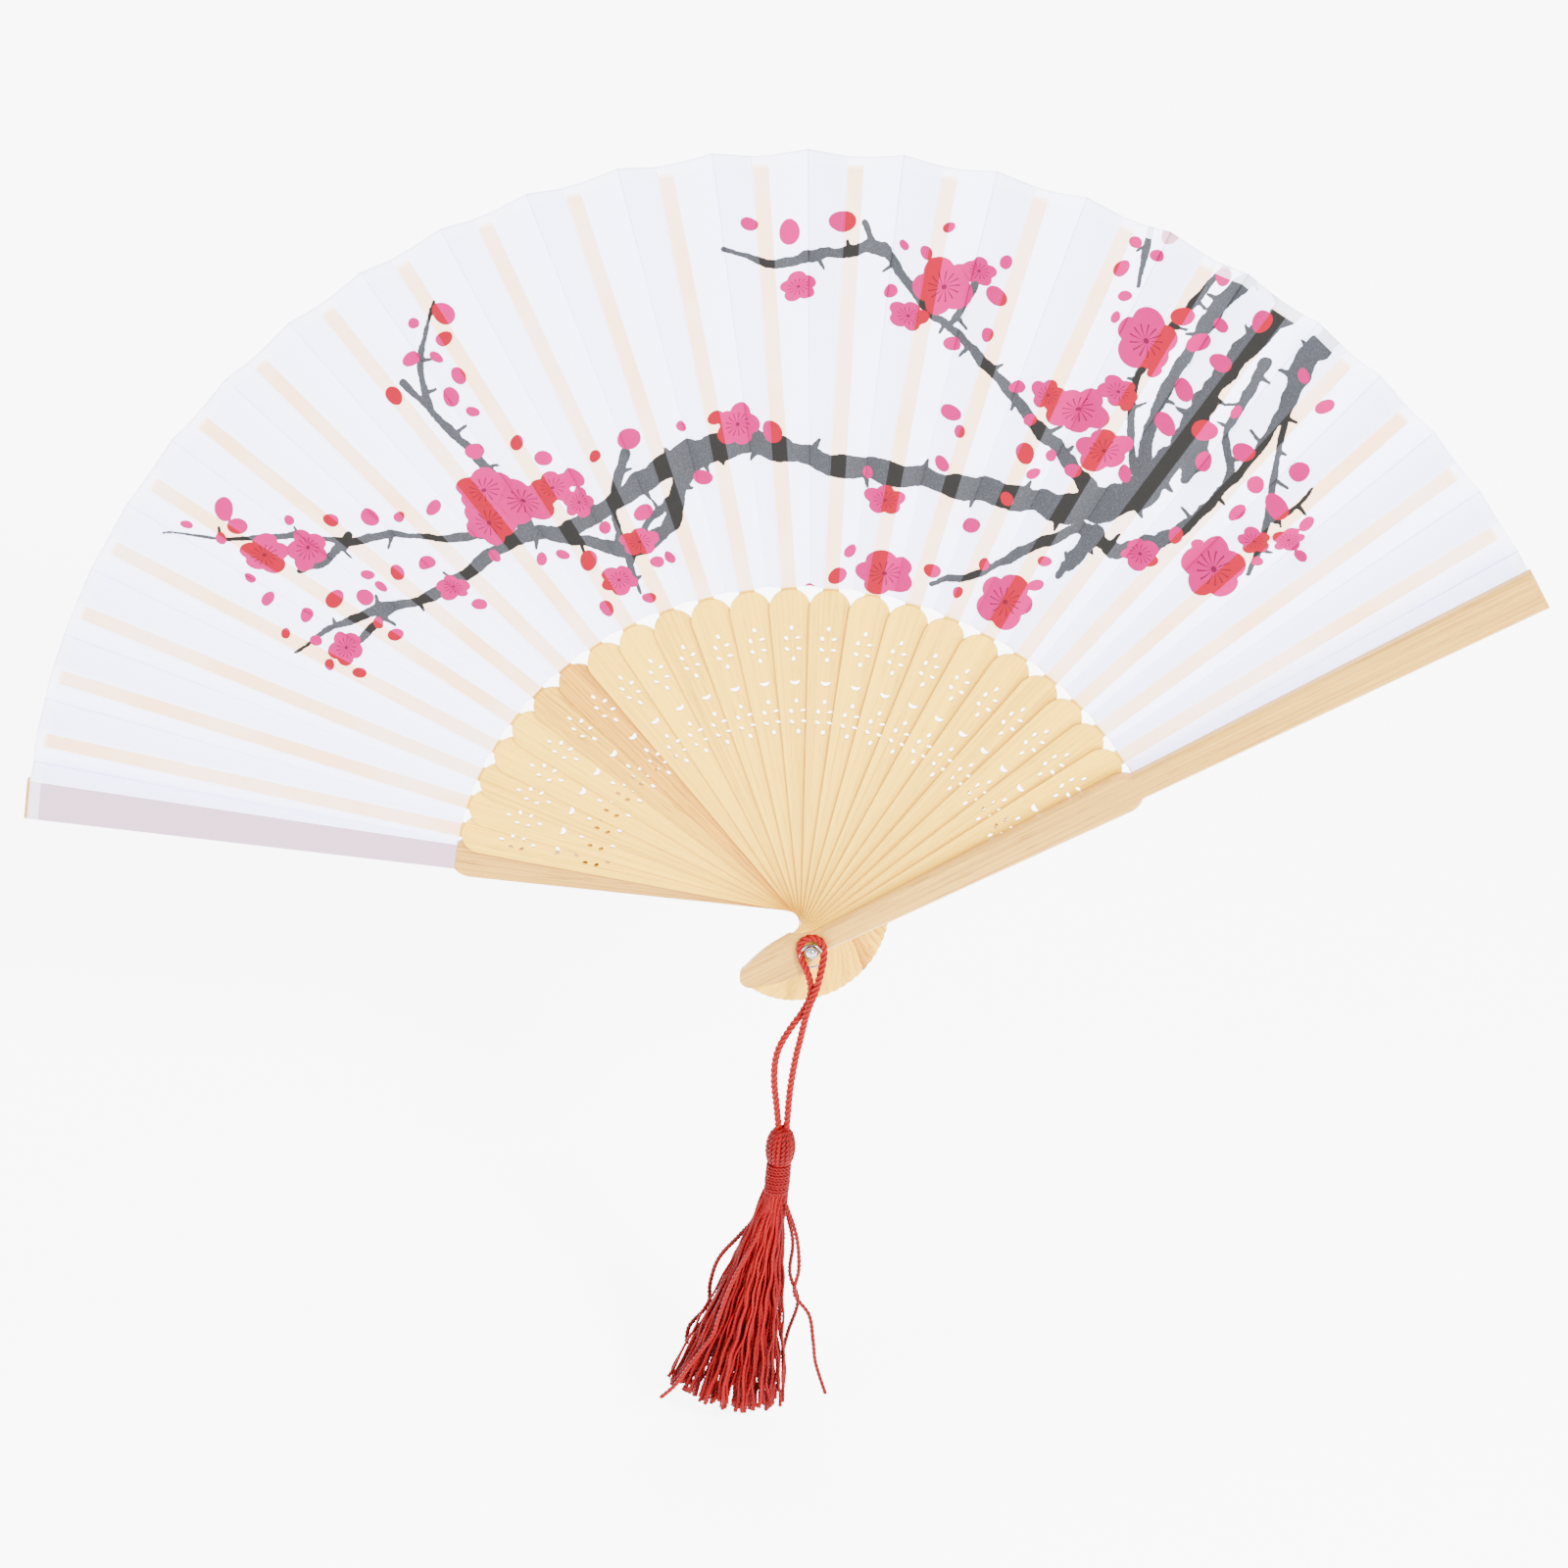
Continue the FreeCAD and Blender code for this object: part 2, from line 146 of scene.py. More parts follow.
class FanLeafSettings(bpy.types.PropertyGroup):
    """Sizes and colours of the cloth leaf."""

    inner: length("Inner edge", "Rivet to the leaf's inner edge", 87.0)
    outer: length("Rim", "Rivet to the leaf's rim", 190.4)
    cloth: length("Cloth", "Thickness of the cloth", 0.14)
    inner_fold: length("Inner fold", "How far a back fold lies behind a front fold at the inner edge", 0.6)
    glue_level: length("Glue level", "Back of a rib's blade to the cloth on its slip", 0.55)
    slip_half: length("Slip half width", "Half the width of the slip behind the cloth", 1.9)
    hem: length("Hem", "Width of the hem along the rim", 2.7)
    grain: length("Mesh size", "Distance between the leaf's points, fine enough for the print", 0.46)
    silk: colour("Silk", "The bare cloth", (0.75, 0.755, 1.0))
    stripe: colour("Slip stripe", "The cloth where a slip shows through", (0.75, 0.48, 0.29))
    band: colour("Guard band", "The cloth over the rear guard", (0.34, 0.24, 0.30))


class FanPrintSettings(bpy.types.PropertyGroup):
    """Colours of the printed branch."""

    ink: colour("Ink", "Branches on bare cloth", (0.027, 0.028, 0.032))
    ink_dark: colour("Ink over a slip", "Branches where a slip is behind the cloth", (0.009, 0.0085, 0.008))
    petal: colour("Petal", "Blossoms on bare cloth", (0.25, 0.0006, 0.068))
    petal_dark: colour("Petal over a slip", "Blossoms where a slip is behind", (0.17, 0.0003, 0.009))


class FanBambooSettings(bpy.types.PropertyGroup):
    """Colours of the bamboo."""

    rib: colour("Ribs", "Most ribs", (0.68, 0.41, 0.016))
    rib_tan: colour("Tan ribs", "The few ribs cut from darker bamboo", (0.52, 0.245, 0.008))
    guard: colour("Guards", "The two guards", (0.42, 0.23, 0.035))
    fibre: colour("Fibre", "The darker fibres of the grain", (0.16, 0.065, 0.006))


class FanCordSettings(bpy.types.PropertyGroup):
    """Sizes and colours of the cord and the tassel."""

    cord: length("Cord", "Diameter of the twisted cord", 1.7)
    lay: length("Lay", "Length of one turn of the cord's plies", 4.4)
    thread: length("Thread", "Diameter of one thread of the tassel", 0.78)
    threads: IntProperty(name="Threads", description="Threads in the skirt", default=150, min=12)
    red: colour("Red", "Cord", (0.165, 0.0006, 0.0007))
    skirt: colour("Tassel red", "Threads of the tassel", (0.112, 0.0002, 0.0009))


class FanStageSettings(bpy.types.PropertyGroup):
    """The camera's place and the backdrop."""

    elevation: FloatProperty(
        name="Elevation", description="Camera above the horizontal",
        default=math.radians(25.05), subtype="ANGLE",
    )
    distance: length("Distance", "Camera to the rivet's head", 1166.7)
    floor: colour("Floor", "The backdrop", (0.95, 0.95, 0.95))
    glow: FloatProperty(name="Glow", description="How much the lit backdrop gives off", default=5.2, min=0)


# ---------- small tools

def settings(group):
    """One of the scene's groups of settings."""
    return getattr(bpy.context.scene, "fan_" + group)


def add_object(name, data):
    """An object of some data, in the scene, at the origin."""
    made = bpy.data.objects.new(name, data)
    bpy.context.scene.collection.objects.link(made)
    return made


def new_mesh_object(name, points, faces):
    mesh = bpy.data.meshes.new(name)
    mesh.from_pydata(points, [], faces)
    mesh.update()
    return add_object(name, mesh)


def give_attribute(piece, name, values):
    """A number for each point, which the materials read."""
    layer = piece.data.attributes.new(name, "FLOAT", "POINT")
    layer.data.foreach_set("value", np.asarray(values, np.float32))


def shade_smooth(piece):
    piece.data.polygons.foreach_set("use_smooth", [True] * len(piece.data.polygons))


def grid_faces(columns, rows, closed):
    """Quads of a grid of points laid out row by row; closed joins the last column to the first."""
    faces = []
    for r in range(rows - 1):
        for c in range(columns if closed else columns - 1):
            n = (c + 1) % columns
            faces.append((r * columns + c, r * columns + n, (r + 1) * columns + n, (r + 1) * columns + c))
    return faces


def gaps(points):
    """Distances from each point of a line to the next."""
    return np.linalg.norm(np.diff(points, axis=0), axis=1)


# ---------- material tools

class Surface:
    """A material under construction: nodes are added by kind, and sockets take values or other nodes."""

    def __init__(self, name):
        self.material = bpy.data.materials.new(name)
        self.material.use_nodes = True
        self.tree = self.material.node_tree
        self.shader = self.tree.nodes["Principled BSDF"]

    def node(self, kind, **properties):
        made = self.tree.nodes.new("ShaderNode" + kind)
        for name, value in properties.items():
            setattr(made, name, value)
        return made

    def put(self, socket, value):
        """Set a socket to a value, or link it to another socket."""
        if isinstance(value, bpy.types.NodeSocket):
            self.tree.links.new(value, socket)
        elif hasattr(value, "__len__") and len(value) == 3 and socket.type == "RGBA":
            socket.default_value = (*value, 1)
        else:
            socket.default_value = value

    def fill(self, made, **inputs):
        """Set a node's sockets by name, with _ for a space."""
        for name, value in inputs.items():
            self.put(made.inputs[name.replace("_", " ")], value)
        return made

    def math(self, operation, first, second=0.0, third=0.0):
        made = self.node("Math", operation=operation)
        for socket, value in zip(made.inputs, (first, second, third)):
            self.put(socket, value)
        return made.outputs[0]

    def times(self, first, second):
        return self.math("MULTIPLY", first, second)

    def mix(self, share, first, second):
        made = self.node("Mix", data_type="RGBA")
        self.put(made.inputs[0], share)
        self.put(made.inputs[6], first)
        self.put(made.inputs[7], second)
        return made.outputs[2]

    def step(self, value, low, high, start=0.0, end=1.0):
        """A smooth change from start to end while value goes from low to high."""
        made = self.node("MapRange", interpolation_type="SMOOTHSTEP")
        for socket, number in zip(made.inputs, (value, low, high, start, end)):
            self.put(socket, number)
        return made.outputs[0]

    def attribute(self, name):
        return self.node("Attribute", attribute_name=name).outputs["Fac"]

    def facing_back(self):
        """1 on a surface that faces the fan's back, -1 on one that faces its front."""
        parts = self.node("SeparateXYZ")
        self.fill(parts, Vector=self.node("NewGeometry").outputs["Normal"])
        return parts.outputs[1]

    def place(self, turn=0.0, scale=(1, 1, 1), shift=(0, 0, 0)):
        """Object coordinates turned about Y, then stretched."""
        coordinates = self.node("TexCoord").outputs["Object"]
        turned = self.fill(self.node("Mapping"), Vector=coordinates, Rotation=(0, turn, 0))
        stretched = self.node("Mapping")
        self.fill(stretched, Vector=turned.outputs[0], Scale=scale, Location=shift)
        return stretched.outputs[0]

    def noise(self, vector, scale, detail=2.0, roughness=0.5):
        made = self.node("TexNoise")
        self.fill(made, Vector=vector, Scale=scale, Detail=detail, Roughness=roughness)
        return made.outputs["Fac"]

    def bump(self, height, strength, distance):
        made = self.fill(self.node("Bump"), Height=height, Strength=strength, Distance=distance)
        self.fill(self.shader, Normal=made.outputs[0])

    def finish(self, colour_socket, roughness, **plain):
        self.fill(self.shader, Base_Color=colour_socket, Roughness=roughness, **plain)
        return self.material


def wear(piece, material):
    """Give a piece one material."""
    piece.data.materials.clear()
    piece.data.materials.append(material)


# ---------- bamboo

def tinted(base, tint):
    """A colour multiplied by another."""
    return tuple(c * k for c, k in zip(base, tint))


def bamboo(name, base, fibre, angle, contrast, shift):
    """Split bamboo: straight grain along the stick, short dark pores, soft bands of tone,
    a painted highlight along the edges, and a painted warm shade where one stick lies on another."""
    s = Surface(name)
    along = s.place(turn=angle, scale=(12, 500, 1500), shift=shift)
    pores = s.place(turn=angle, scale=(130, 700, 2600), shift=shift)
    broad = s.place(turn=angle, scale=(9, 60, 120), shift=shift)
    grain = s.step(s.noise(along, 1.0, 3.0, 0.62), 0.36, 0.70)
    flecks = s.step(s.noise(pores, 1.0, 1.0, 0.4), 0.60, 0.74)
    tone = s.noise(broad, 1.0, 2.0, 0.5)
    warm = s.mix(s.step(tone, 0.3, 0.75, 0.0, 0.30), base, tinted(base, (0.93, 0.84, 0.70)))
    lined = s.mix(s.times(grain, contrast), warm, fibre)
    dotted = s.mix(s.times(flecks, contrast * 0.9), lined, tuple(c * 0.75 for c in fibre))
    # painted highlight: the sides of each stick, where the normal turns away from the fan's face, get a
    # lighter colour
    edge_highlight_share = s.step(s.math("ABSOLUTE", s.facing_back()), 0.2, 0.95, 0.75, 0.0)
    edge_highlighted = s.mix(edge_highlight_share, dotted, tuple(min(0.95, c * 1.35 + 0.03) for c in base))
    # painted shade: ambient occlusion darkens the colour where one stick lies on another
    corner = s.node("AmbientOcclusion", samples=4)
    corner.inputs["Distance"].default_value = 2.2 * MM
    painted_shade_share = s.step(corner.outputs["AO"], 0.4, 1.0, 0.65, 0.0)
    shaded = s.mix(painted_shade_share, edge_highlighted, tinted(base, (0.66, 0.52, 0.36)))
    s.bump(s.math("ADD", grain, flecks), 0.25, 0.00008)
    rough = s.step(grain, 0.0, 1.0, 0.40, 0.56)
    return s.finish(shaded, rough, Specular_IOR_Level=0.14)


def join_points(piece):
    """A live weld of the points that a CAD mesh repeats."""
    piece.modifiers.new("Weld", "WELD").merge_threshold = WELD_REACH


def soften_edges(piece, width):
    """A live bevel that gives a stick's cut edges a narrow light."""
    join_points(piece)
    edge = piece.modifiers.new("Bevel", "BEVEL")
    edge.width = width
    edge.segments = 2
    edge.limit_method = "ANGLE"
    edge.angle_limit = math.radians(50)


class FAN_OT_sticks(bpy.types.Operator):
    """Give every rib and guard its own piece of bamboo, with the grain along the stick."""

    bl_idname = "fan.sticks"
    bl_label = "Bamboo sticks"

    def execute(self, context):
        tones = settings("bamboo")
        chance = np.random.default_rng(SEED)
        tan_ribs = {17: 0.95, 18: 0.55, 14: 0.15, 10: 0.2, 21: 0.15, 4: 0.12}
        for index, name in enumerate(STICKS):
            node = frame["nodes"][name]
            guard = index in (0, LAST)
            share = tan_ribs.get(index, 0.0) + chance.uniform(0, 0.12)
            base = Vector(tones.rib).lerp(Vector(tones.rib_tan), share)
            if guard:
                base = Vector(tones.guard)
            contrast = 0.55 if guard else 0.2 + 0.5 * share
            shift = tuple(chance.uniform(0, 50, 3))
            fibre = tuple(tones.fibre)
            wear(node, bamboo("bamboo_" + name, tuple(base), fibre, ANGLES[index], contrast, shift))
            soften_edges(node, (0.25 if guard else 0.2) * MM)
        return {"FINISHED"}


# ---------- the leaf's shape

def glue_levels():
    """Y of the cloth where it is glued to each stick."""
    leaf = settings("leaf")
    levels = [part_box(name)[1].y - leaf.glue_level for name in STICKS]
    levels[0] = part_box("front_guard")[1].y + leaf.cloth
    levels[LAST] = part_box("rear_guard")[0].y - leaf.cloth / 2
    return levels


def guard_half(reach):
    """Half width of a guard's upper stick."""
    foot = settings("leaf").inner
    return GUARD_FOOT_HALF + GUARD_WIDENING * (reach - foot) / (GUARD_REACH - foot)


def beside(index, reach, across):
    """(x, z) at a distance from the rivet, and across from a stick's middle towards the front guard."""
    lead = math.asin(min(1.0, across / reach))
    angle = ANGLES[index] - lead
    return reach * math.cos(angle), reach * math.sin(angle)


def pleat_row(index, reach, levels, depth, half):
    """Key points of one sector at one radius: front fold, end of the glue, back fold, next front fold."""
    glued = guard_half(reach) if index == LAST else half + GLUE_MARGIN
    level = levels[index]
    middle = ANGLES[index] - STEPS[index] / 2
    back = (reach * math.cos(middle), level + depth, reach * math.sin(middle))
    first = beside(index, reach, -glued)
    second = beside(index, reach, glued)
    across = -guard_half(reach) if index == 1 else -half - GLUE_MARGIN
    last = beside(index - 1, reach, across)
    glue = [(x, level, z) for x, z in (first, second)]
    return [*glue, back, (last[0], levels[index - 1], last[1])]


def spread(start, end, count, bend=1.0):
    """Points from start to end; bend above 1 holds Y back at first, as cloth curves off its glue."""
    shares = np.linspace(0, 1, count)[:, None]
    points = np.array(start) + (np.array(end) - np.array(start)) * shares
    points[:, 1] = start[1] + (end[1] - start[1]) * shares[:, 0] ** bend
    return points


def cloth_piece(name, rows, reaches, index):
    """A strip of cloth from rows of points, with its distance from the slip's middle and from the rivet."""
    columns = len(rows[0])
    points = np.concatenate(rows)
    piece = new_mesh_object(name, points.tolist(), grid_faces(columns, len(rows), False))
    shade_smooth(piece)
    angle = ANGLES[index]
    across = points[:, 0] * math.sin(angle) - points[:, 2] * math.cos(angle)
    give_attribute(piece, "across", across)
    give_attribute(piece, "reach", np.repeat(reaches, columns))
    over = [guard_half(r) if index == LAST else 0.0 for r in reaches]
    give_attribute(piece, "over_guard", np.repeat(over, columns) - np.abs(across))
    return piece


def ripple(points, reaches, seed, hold):
    """Very slight waves in the cloth, none at its folds."""
    chance = np.random.default_rng(seed)
    amount, turns, start = chance.uniform(0.05, 0.16), chance.uniform(2.0, 4.5), chance.uniform(0, 6)
    waves = np.sin(reaches / (103 * MM) * turns * math.pi + start)[:, None]
    for row, wave in zip(points, waves):
        row[:, 1] += amount * MM * wave * hold


def finish_cloth(piece):
    """The cloth's thickness, which follows the piece as it bends."""
    wall = piece.modifiers.new("Cloth", "SOLIDIFY")
    wall.thickness = settings("leaf").cloth
    wall.offset = 0


def trapezoid_area(rows):
    """Area of a strip, from its rows of points."""
    widths = [gaps(r).sum() for r in rows]
    leaf = settings("leaf")
    return float(np.mean(widths)) * (leaf.outer - leaf.inner)


class FAN_OT_leaf(bpy.types.Operator):
    """Make the pleated leaf: for each rib a glued strip and a free one, which meet at a fold."""

    bl_idname = "fan.leaf"
    bl_label = "Pleated leaf"

    def execute(self, context):
        leaf = settings("leaf")
        half = leaf.slip_half
        levels = glue_levels()
        rim_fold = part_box("leaf_pleat_05")[1].y - 0.1 * MM - levels[5]
        tall = leaf.outer - leaf.inner
        reaches = np.linspace(leaf.inner, leaf.outer, int(tall / leaf.grain) + 1)
        depths = np.linspace(leaf.inner_fold, rim_fold, len(reaches))
        silk = leaf_material()
        for index in range(1, LAST + 1):
            keys = [pleat_row(index, r, levels, d, half) for r, d in zip(reaches, depths)]
            widths = [math.dist(a, b) for a, b in zip(keys[-1], keys[-1][1:])]
            counts = [max(3, int(w / leaf.grain) + 1) for w in widths]
            glued = [
                np.concatenate([spread(k[0], k[1], counts[0])[:-1], spread(k[1], k[2], counts[1], 1.18)])
                for k in keys
            ]
            hold = np.concatenate([np.zeros(counts[0] - 1), np.sin(np.linspace(0, math.pi, counts[1]))])
            ripple(glued, reaches, SEED + index, hold)
            free = [spread(k[2], k[3], counts[2]) for k in keys]
            strip = cloth_piece("leaf_glued_%02d" % index, glued, reaches, index)
            flap = cloth_piece("leaf_free_%02d" % index, free, reaches, index - 1)
            for piece in (strip, flap):
                add_print(piece)
                wear(piece, silk)
            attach(strip, STICKS[index])
            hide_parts("leaf_pleat_%02d" % index)
            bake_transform(flap)
            for piece, rows in ((strip, glued), (flap, free)):
                finish_cloth(piece)
                trapezoid_area(rows)
        self.guard_hem(reaches, levels[0], silk)
        return {"FINISHED"}

    def guard_hem(self, reaches, level, silk):
        """The leaf's last strip, glued behind the front guard."""
        rows = []
        for reach in reaches:
            width = guard_half(reach)
            first, last = beside(0, reach, -width), beside(0, reach, width - 0.5 * MM)
            rows.append(spread((first[0], level, first[1]), (last[0], level, last[1]), 12))
        piece = cloth_piece("leaf_guard_strip", rows, reaches, 0)
        add_print(piece)
        wear(piece, silk)
        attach(piece, "front_guard")
        finish_cloth(piece)
        tall = settings("leaf").outer - settings("leaf").inner
        trapezoid_area(rows)


# ---------- the print: one blossoming branch
# Places are (x, z) in millimetres from the rivet, and each point of a branch has its half width third.

BRANCHES = [
    [(119, 167, 3.6), (109, 157, 3.0), (99, 147, 2.3), (92, 138, 2.1), (88, 130, 2.5), (82, 120, 2.7),
     (75, 112, 3.4), (64, 108, 3.4), (52, 109, 2.9), (38, 112, 2.6), (20, 115, 2.5), (2, 118, 2.4),
     (-14, 122, 2.9), (-28, 119, 2.7), (-40, 111, 2.3), (-52, 102, 2.0), (-62, 98, 1.8), (-78, 97, 1.0),
     (-94, 97, 0.8), (-108, 96, 0.9), (-126, 96, 0.6), (-152, 96, 0.3)],
    [(112, 174, 2.3), (101, 164, 1.9), (92, 155, 2.0), (86, 145, 1.6), (80, 134, 1.4), (77, 124, 1.3),
     (76, 114, 1.6)],
    [(127, 160, 2.2), (119, 150, 1.9), (113, 144, 2.3), (109, 135, 1.5), (103, 124, 0.9), (96, 115, 1.0),
     (89, 107, 1.1), (80, 100, 1.7), (71, 98, 1.8), (64, 102, 1.7)],
    [(88, 131, 2.2), (88, 121, 2.8), (86, 115, 1.2)],
    [(103, 143, 1.5), (99, 134, 1.3), (95, 126, 0.9), (96, 117, 0.9), (93, 112, 0.8)],
    [(102, 181, 0.4), (94, 167, 0.5), (86, 157, 0.9), (79, 148, 0.9), (74, 139, 0.9), (73, 129, 0.8),
     (74, 117, 0.9)],
    [(79, 184, 0.5), (76, 172, 0.8), (74, 160, 0.5)],
    [(109, 134, 1.0), (107, 124, 0.7), (106, 113, 0.8), (104, 102, 0.8), (101, 93, 0.6)],
    [(105, 106, 0.6), (111, 109, 0.5), (115, 114, 0.3)],
    [(66, 110, 1.9), (59, 119, 1.7), (52, 127, 1.4), (43, 138, 1.2), (36, 146, 1.0), (28, 153, 0.9),
     (20, 163, 1.1), (14, 169, 1.4), (4, 167, 1.2), (-6, 165, 1.1), (-20, 167, 0.5)],
    [(14, 169, 1.0), (12, 175, 0.6)],
    [(31, 150, 0.7), (36, 157, 0.8), (38, 163, 0.6)],
    [(-22, 120, 1.9), (-30, 112, 1.7), (-33, 101, 1.8), (-42, 95, 1.8), (-54, 97, 1.3), (-64, 99, 1.4)],
    [(-33, 107, 1.1), (-39, 100, 0.8), (-43, 88, 0.5)],
    [(-43, 118, 1.2), (-46, 106, 0.8), (-43, 94, 0.7), (-40, 84, 0.4)],
    [(-66, 99, 1.5), (-74, 112, 1.0), (-84, 124, 0.8), (-94, 135, 0.7)],
    [(-88, 129, 0.8), (-90, 138, 0.7), (-88, 148, 0.5), (-86, 155, 0.3)],
    [(-68, 98, 1.8), (-82, 87, 1.3), (-94, 80, 1.3), (-108, 76, 1.0), (-122, 67, 0.3)],
    [(-98, 79, 1.0), (-106, 71, 0.8), (-110, 64, 0.4)],
    [(-108, 97, 0.9), (-114, 90, 1.0), (-120, 88, 0.5)],
    [(62, 103, 1.6), (50, 98, 1.0), (40, 92, 0.9), (28, 89, 0.6)],
    [(66, 102, 1.6), (60, 95, 1.3), (57, 91, 0.5)],
]

# Blossoms: (x, z, radius, turn in degrees, how round its petals are).
BLOSSOMS = [
    (76, 148, 7.4, 10, 1.0), (61, 131, 7.6, 50, 0.98), (67, 122, 7.0, 20, 0.98), (30, 160, 7.4, 35, 0.98),
    (22, 153, 5.0, 0, 0.9), (-3, 159, 4.8, 25, 0.9), (93, 94, 7.8, 15, 1.0), (76, 97, 5.2, 40, 0.85),
    (110, 101, 4.6, 5, 0.85), (45, 85, 7.2, 60, 0.98), (17, 91, 7.4, 30, 0.98), (17, 109, 5.2, 15, 0.9),
    (-17, 126, 5.6, 5, 0.9), (-67, 106, 7.8, 45, 1.0), (-76, 109, 7.0, 20, 0.98), (-75, 101, 6.6, 70, 0.95),
    (-40, 97, 5.0, 20, 0.9), (-45, 87, 5.0, 65, 0.9), (-54, 106, 4.2, 10, 0.85), (-84, 84, 4.6, 30, 0.9),
    (-128, 92, 6.4, 15, 0.95), (-110, 68, 4.6, 50, 0.9), (102, 101, 4.4, 30, 0.85), (38, 163, 4.6, 10, 0.85),
    (-118, 93, 5.4, 40, 0.9), (70, 136, 5.0, 40, 0.9), (-60, 110, 5.6, 30, 0.9), (54, 135, 4.4, 75, 0.85),
]

# Single buds: (x, z, radius).
BUDS = [
    (-14, 174, 1.9), (-5, 172, 2.8), (7, 175, 2.9), (26, 168, 1.6), (31, 174, 1.4), (21, 169, 1.2),
    (18, 158, 1.7), (42, 158, 2.4), (44, 166, 1.6), (32, 146, 2.0), (40, 149, 1.6), (32, 130, 2.2),
    (34, 126, 1.5), (47, 136, 1.8), (49, 121, 2.5), (51, 116, 1.6), (45, 110, 1.7), (50, 129, 1.5),
    (73, 171, 1.6), (70, 165, 2.0), (78, 167, 1.7), (81, 172, 2.4), (71, 158, 1.6), (69, 153, 1.4),
    (84, 154, 2.6), (93, 163, 2.2), (88, 147, 2.7), (85, 136, 2.4), (78, 141, 1.7), (81, 128, 2.5),
    (72, 133, 1.6), (93, 151, 1.7), (102, 153, 2.5), (90, 127, 3.0), (97, 131, 1.6), (93, 143, 2.3),
    (90, 119, 2.3), (99, 122, 2.4), (112, 140, 1.5), (117, 133, 2.2), (102, 114, 2.4), (112, 117, 2.3),
    (107, 109, 2.8), (98, 107, 2.2), (103, 96, 1.4), (114, 105, 2.0), (113, 97, 1.4), (84, 102, 1.9),
    (89, 100, 1.4), (72, 116, 1.8), (60, 117, 1.8), (55, 120, 1.5), (37, 103, 2.0), (30, 118, 1.8),
    (6, 90, 2.2), (0, 86, 1.7), (9, 96, 1.6), (28, 92, 2.0), (34, 87, 1.4), (54, 95, 1.6), (40, 94, 1.5),
    (52, 89, 1.8), (13, 115, 1.4), (-25, 113, 2.2), (-9, 125, 2.6), (-22, 128, 1.9), (-30, 125, 1.3),
    (-42, 122, 2.9), (-55, 112, 2.5), (-50, 118, 1.5), (-62, 117, 2.0), (-68, 121, 1.8), (-78, 118, 2.1),
    (-83, 131, 2.4), (-78, 128, 1.6), (-81, 137, 2.1), (-92, 140, 1.9), (-96, 132, 2.2), (-84, 146, 2.0),
    (-84, 152, 2.7), (-91, 149, 1.5), (-86, 141, 1.6), (-48, 100, 1.7), (-36, 92, 1.6), (-52, 92, 2.4),
    (-58, 93, 1.6), (-63, 92, 1.5), (-38, 83, 1.6), (-48, 80, 2.0), (-39, 104, 2.2), (-33, 93, 1.5),
    (-88, 104, 1.8), (-103, 101, 2.2), (-96, 102, 1.5), (-112, 101, 1.8), (-122, 100, 1.5), (-134, 99, 2.2),
    (-138, 96, 1.6), (-146, 99, 1.5), (-137, 103, 2.5), (-104, 87, 1.7), (-97, 88, 1.9), (-90, 90, 2.1),
    (-101, 84, 1.6), (-112, 81, 2.3), (-105, 81, 2.0), (-119, 76, 1.8), (-117, 70, 1.4), (-124, 72, 1.3),
    (-107, 62, 1.6), (-114, 64, 1.4), (-98, 72, 1.8), (-102, 75, 1.4), (-78, 80, 1.9), (-74, 92, 1.6),
    (-128, 80, 1.6), (-132, 85, 1.4),
]


def smooth_line(points, per_span=7):
    """A Catmull-Rom curve through the points, widths and all."""
    p = np.array([points[0], *points, points[-1]], float)
    shares = np.linspace(0, 1, per_span, endpoint=False)[:, None]
    spans = []
    for a, b, c, d in zip(p, p[1:], p[2:], p[3:]):
        spans.append(
            0.5 * ((2 * b) + (c - a) * shares + (2 * a - 5 * b + 4 * c - d) * shares**2
                   + (3 * b - a - 3 * c + d) * shares**3)
        )
    return np.vstack([*spans, p[-1]])


def knobbly(line, seed):
    """A branch's uneven bark: its middle and its width wander a little."""
    chance = np.random.default_rng(seed)
    steps = np.arange(len(line))
    wobble = sum(np.sin(steps * f + chance.uniform(0, 6.3)) for f in (0.55, 1.1, 1.9)) / 3
    line = line.copy()
    line[:, 1] += wobble * 0.6 * np.minimum(1.0, line[:, 2])
    line[:, 2] *= 1.08 + 0.3 * np.roll(wobble, 3)
    return line


def spurs(line, seed):
    """Short thorny shoots along a branch."""
    chance = np.random.default_rng(seed + 500)
    found = []
    for i in range(3, len(line) - 3, 5):
        if chance.random() < 0.78:
            way = line[i + 1, :2] - line[i - 1, :2]
            way /= np.linalg.norm(way)
            side = np.array([-way[1], way[0]]) * chance.choice((-1, 1))
            long = line[i, 2] + chance.uniform(1.0, 2.6)
            tip = line[i, :2] + side * long + way * chance.uniform(-1.5, 1.5)
            found.append((line[i, :2], tip, max(0.6, 0.5 * line[i, 2]), 0.32))
    return found


def print_shapes():
    """Tapered strokes (start, end, half widths) of the whole branch."""
    strokes = []
    for number, points in enumerate(BRANCHES):
        line = knobbly(smooth_line(points), SEED + number)
        strokes += [(a[:2], b[:2], a[2], b[2]) for a, b in zip(line, line[1:])]
        strokes += spurs(line, SEED + number)
    return strokes


STROKES = print_shapes()


def stroke_distance(points, stroke):
    """Distance of points from a tapered stroke, below 0 inside it."""
    start, end, first, last = stroke
    way = end - start
    share = np.clip(((points - start) @ way) / max(way @ way, 1e-9), 0, 1)
    nearest = start + share[:, None] * way
    return np.linalg.norm(points - nearest, axis=1) - (first + (last - first) * share)


def near(points, middle, reach):
    """Which points lie in a square round a place."""
    return (np.abs(points - middle) < reach).all(axis=1)


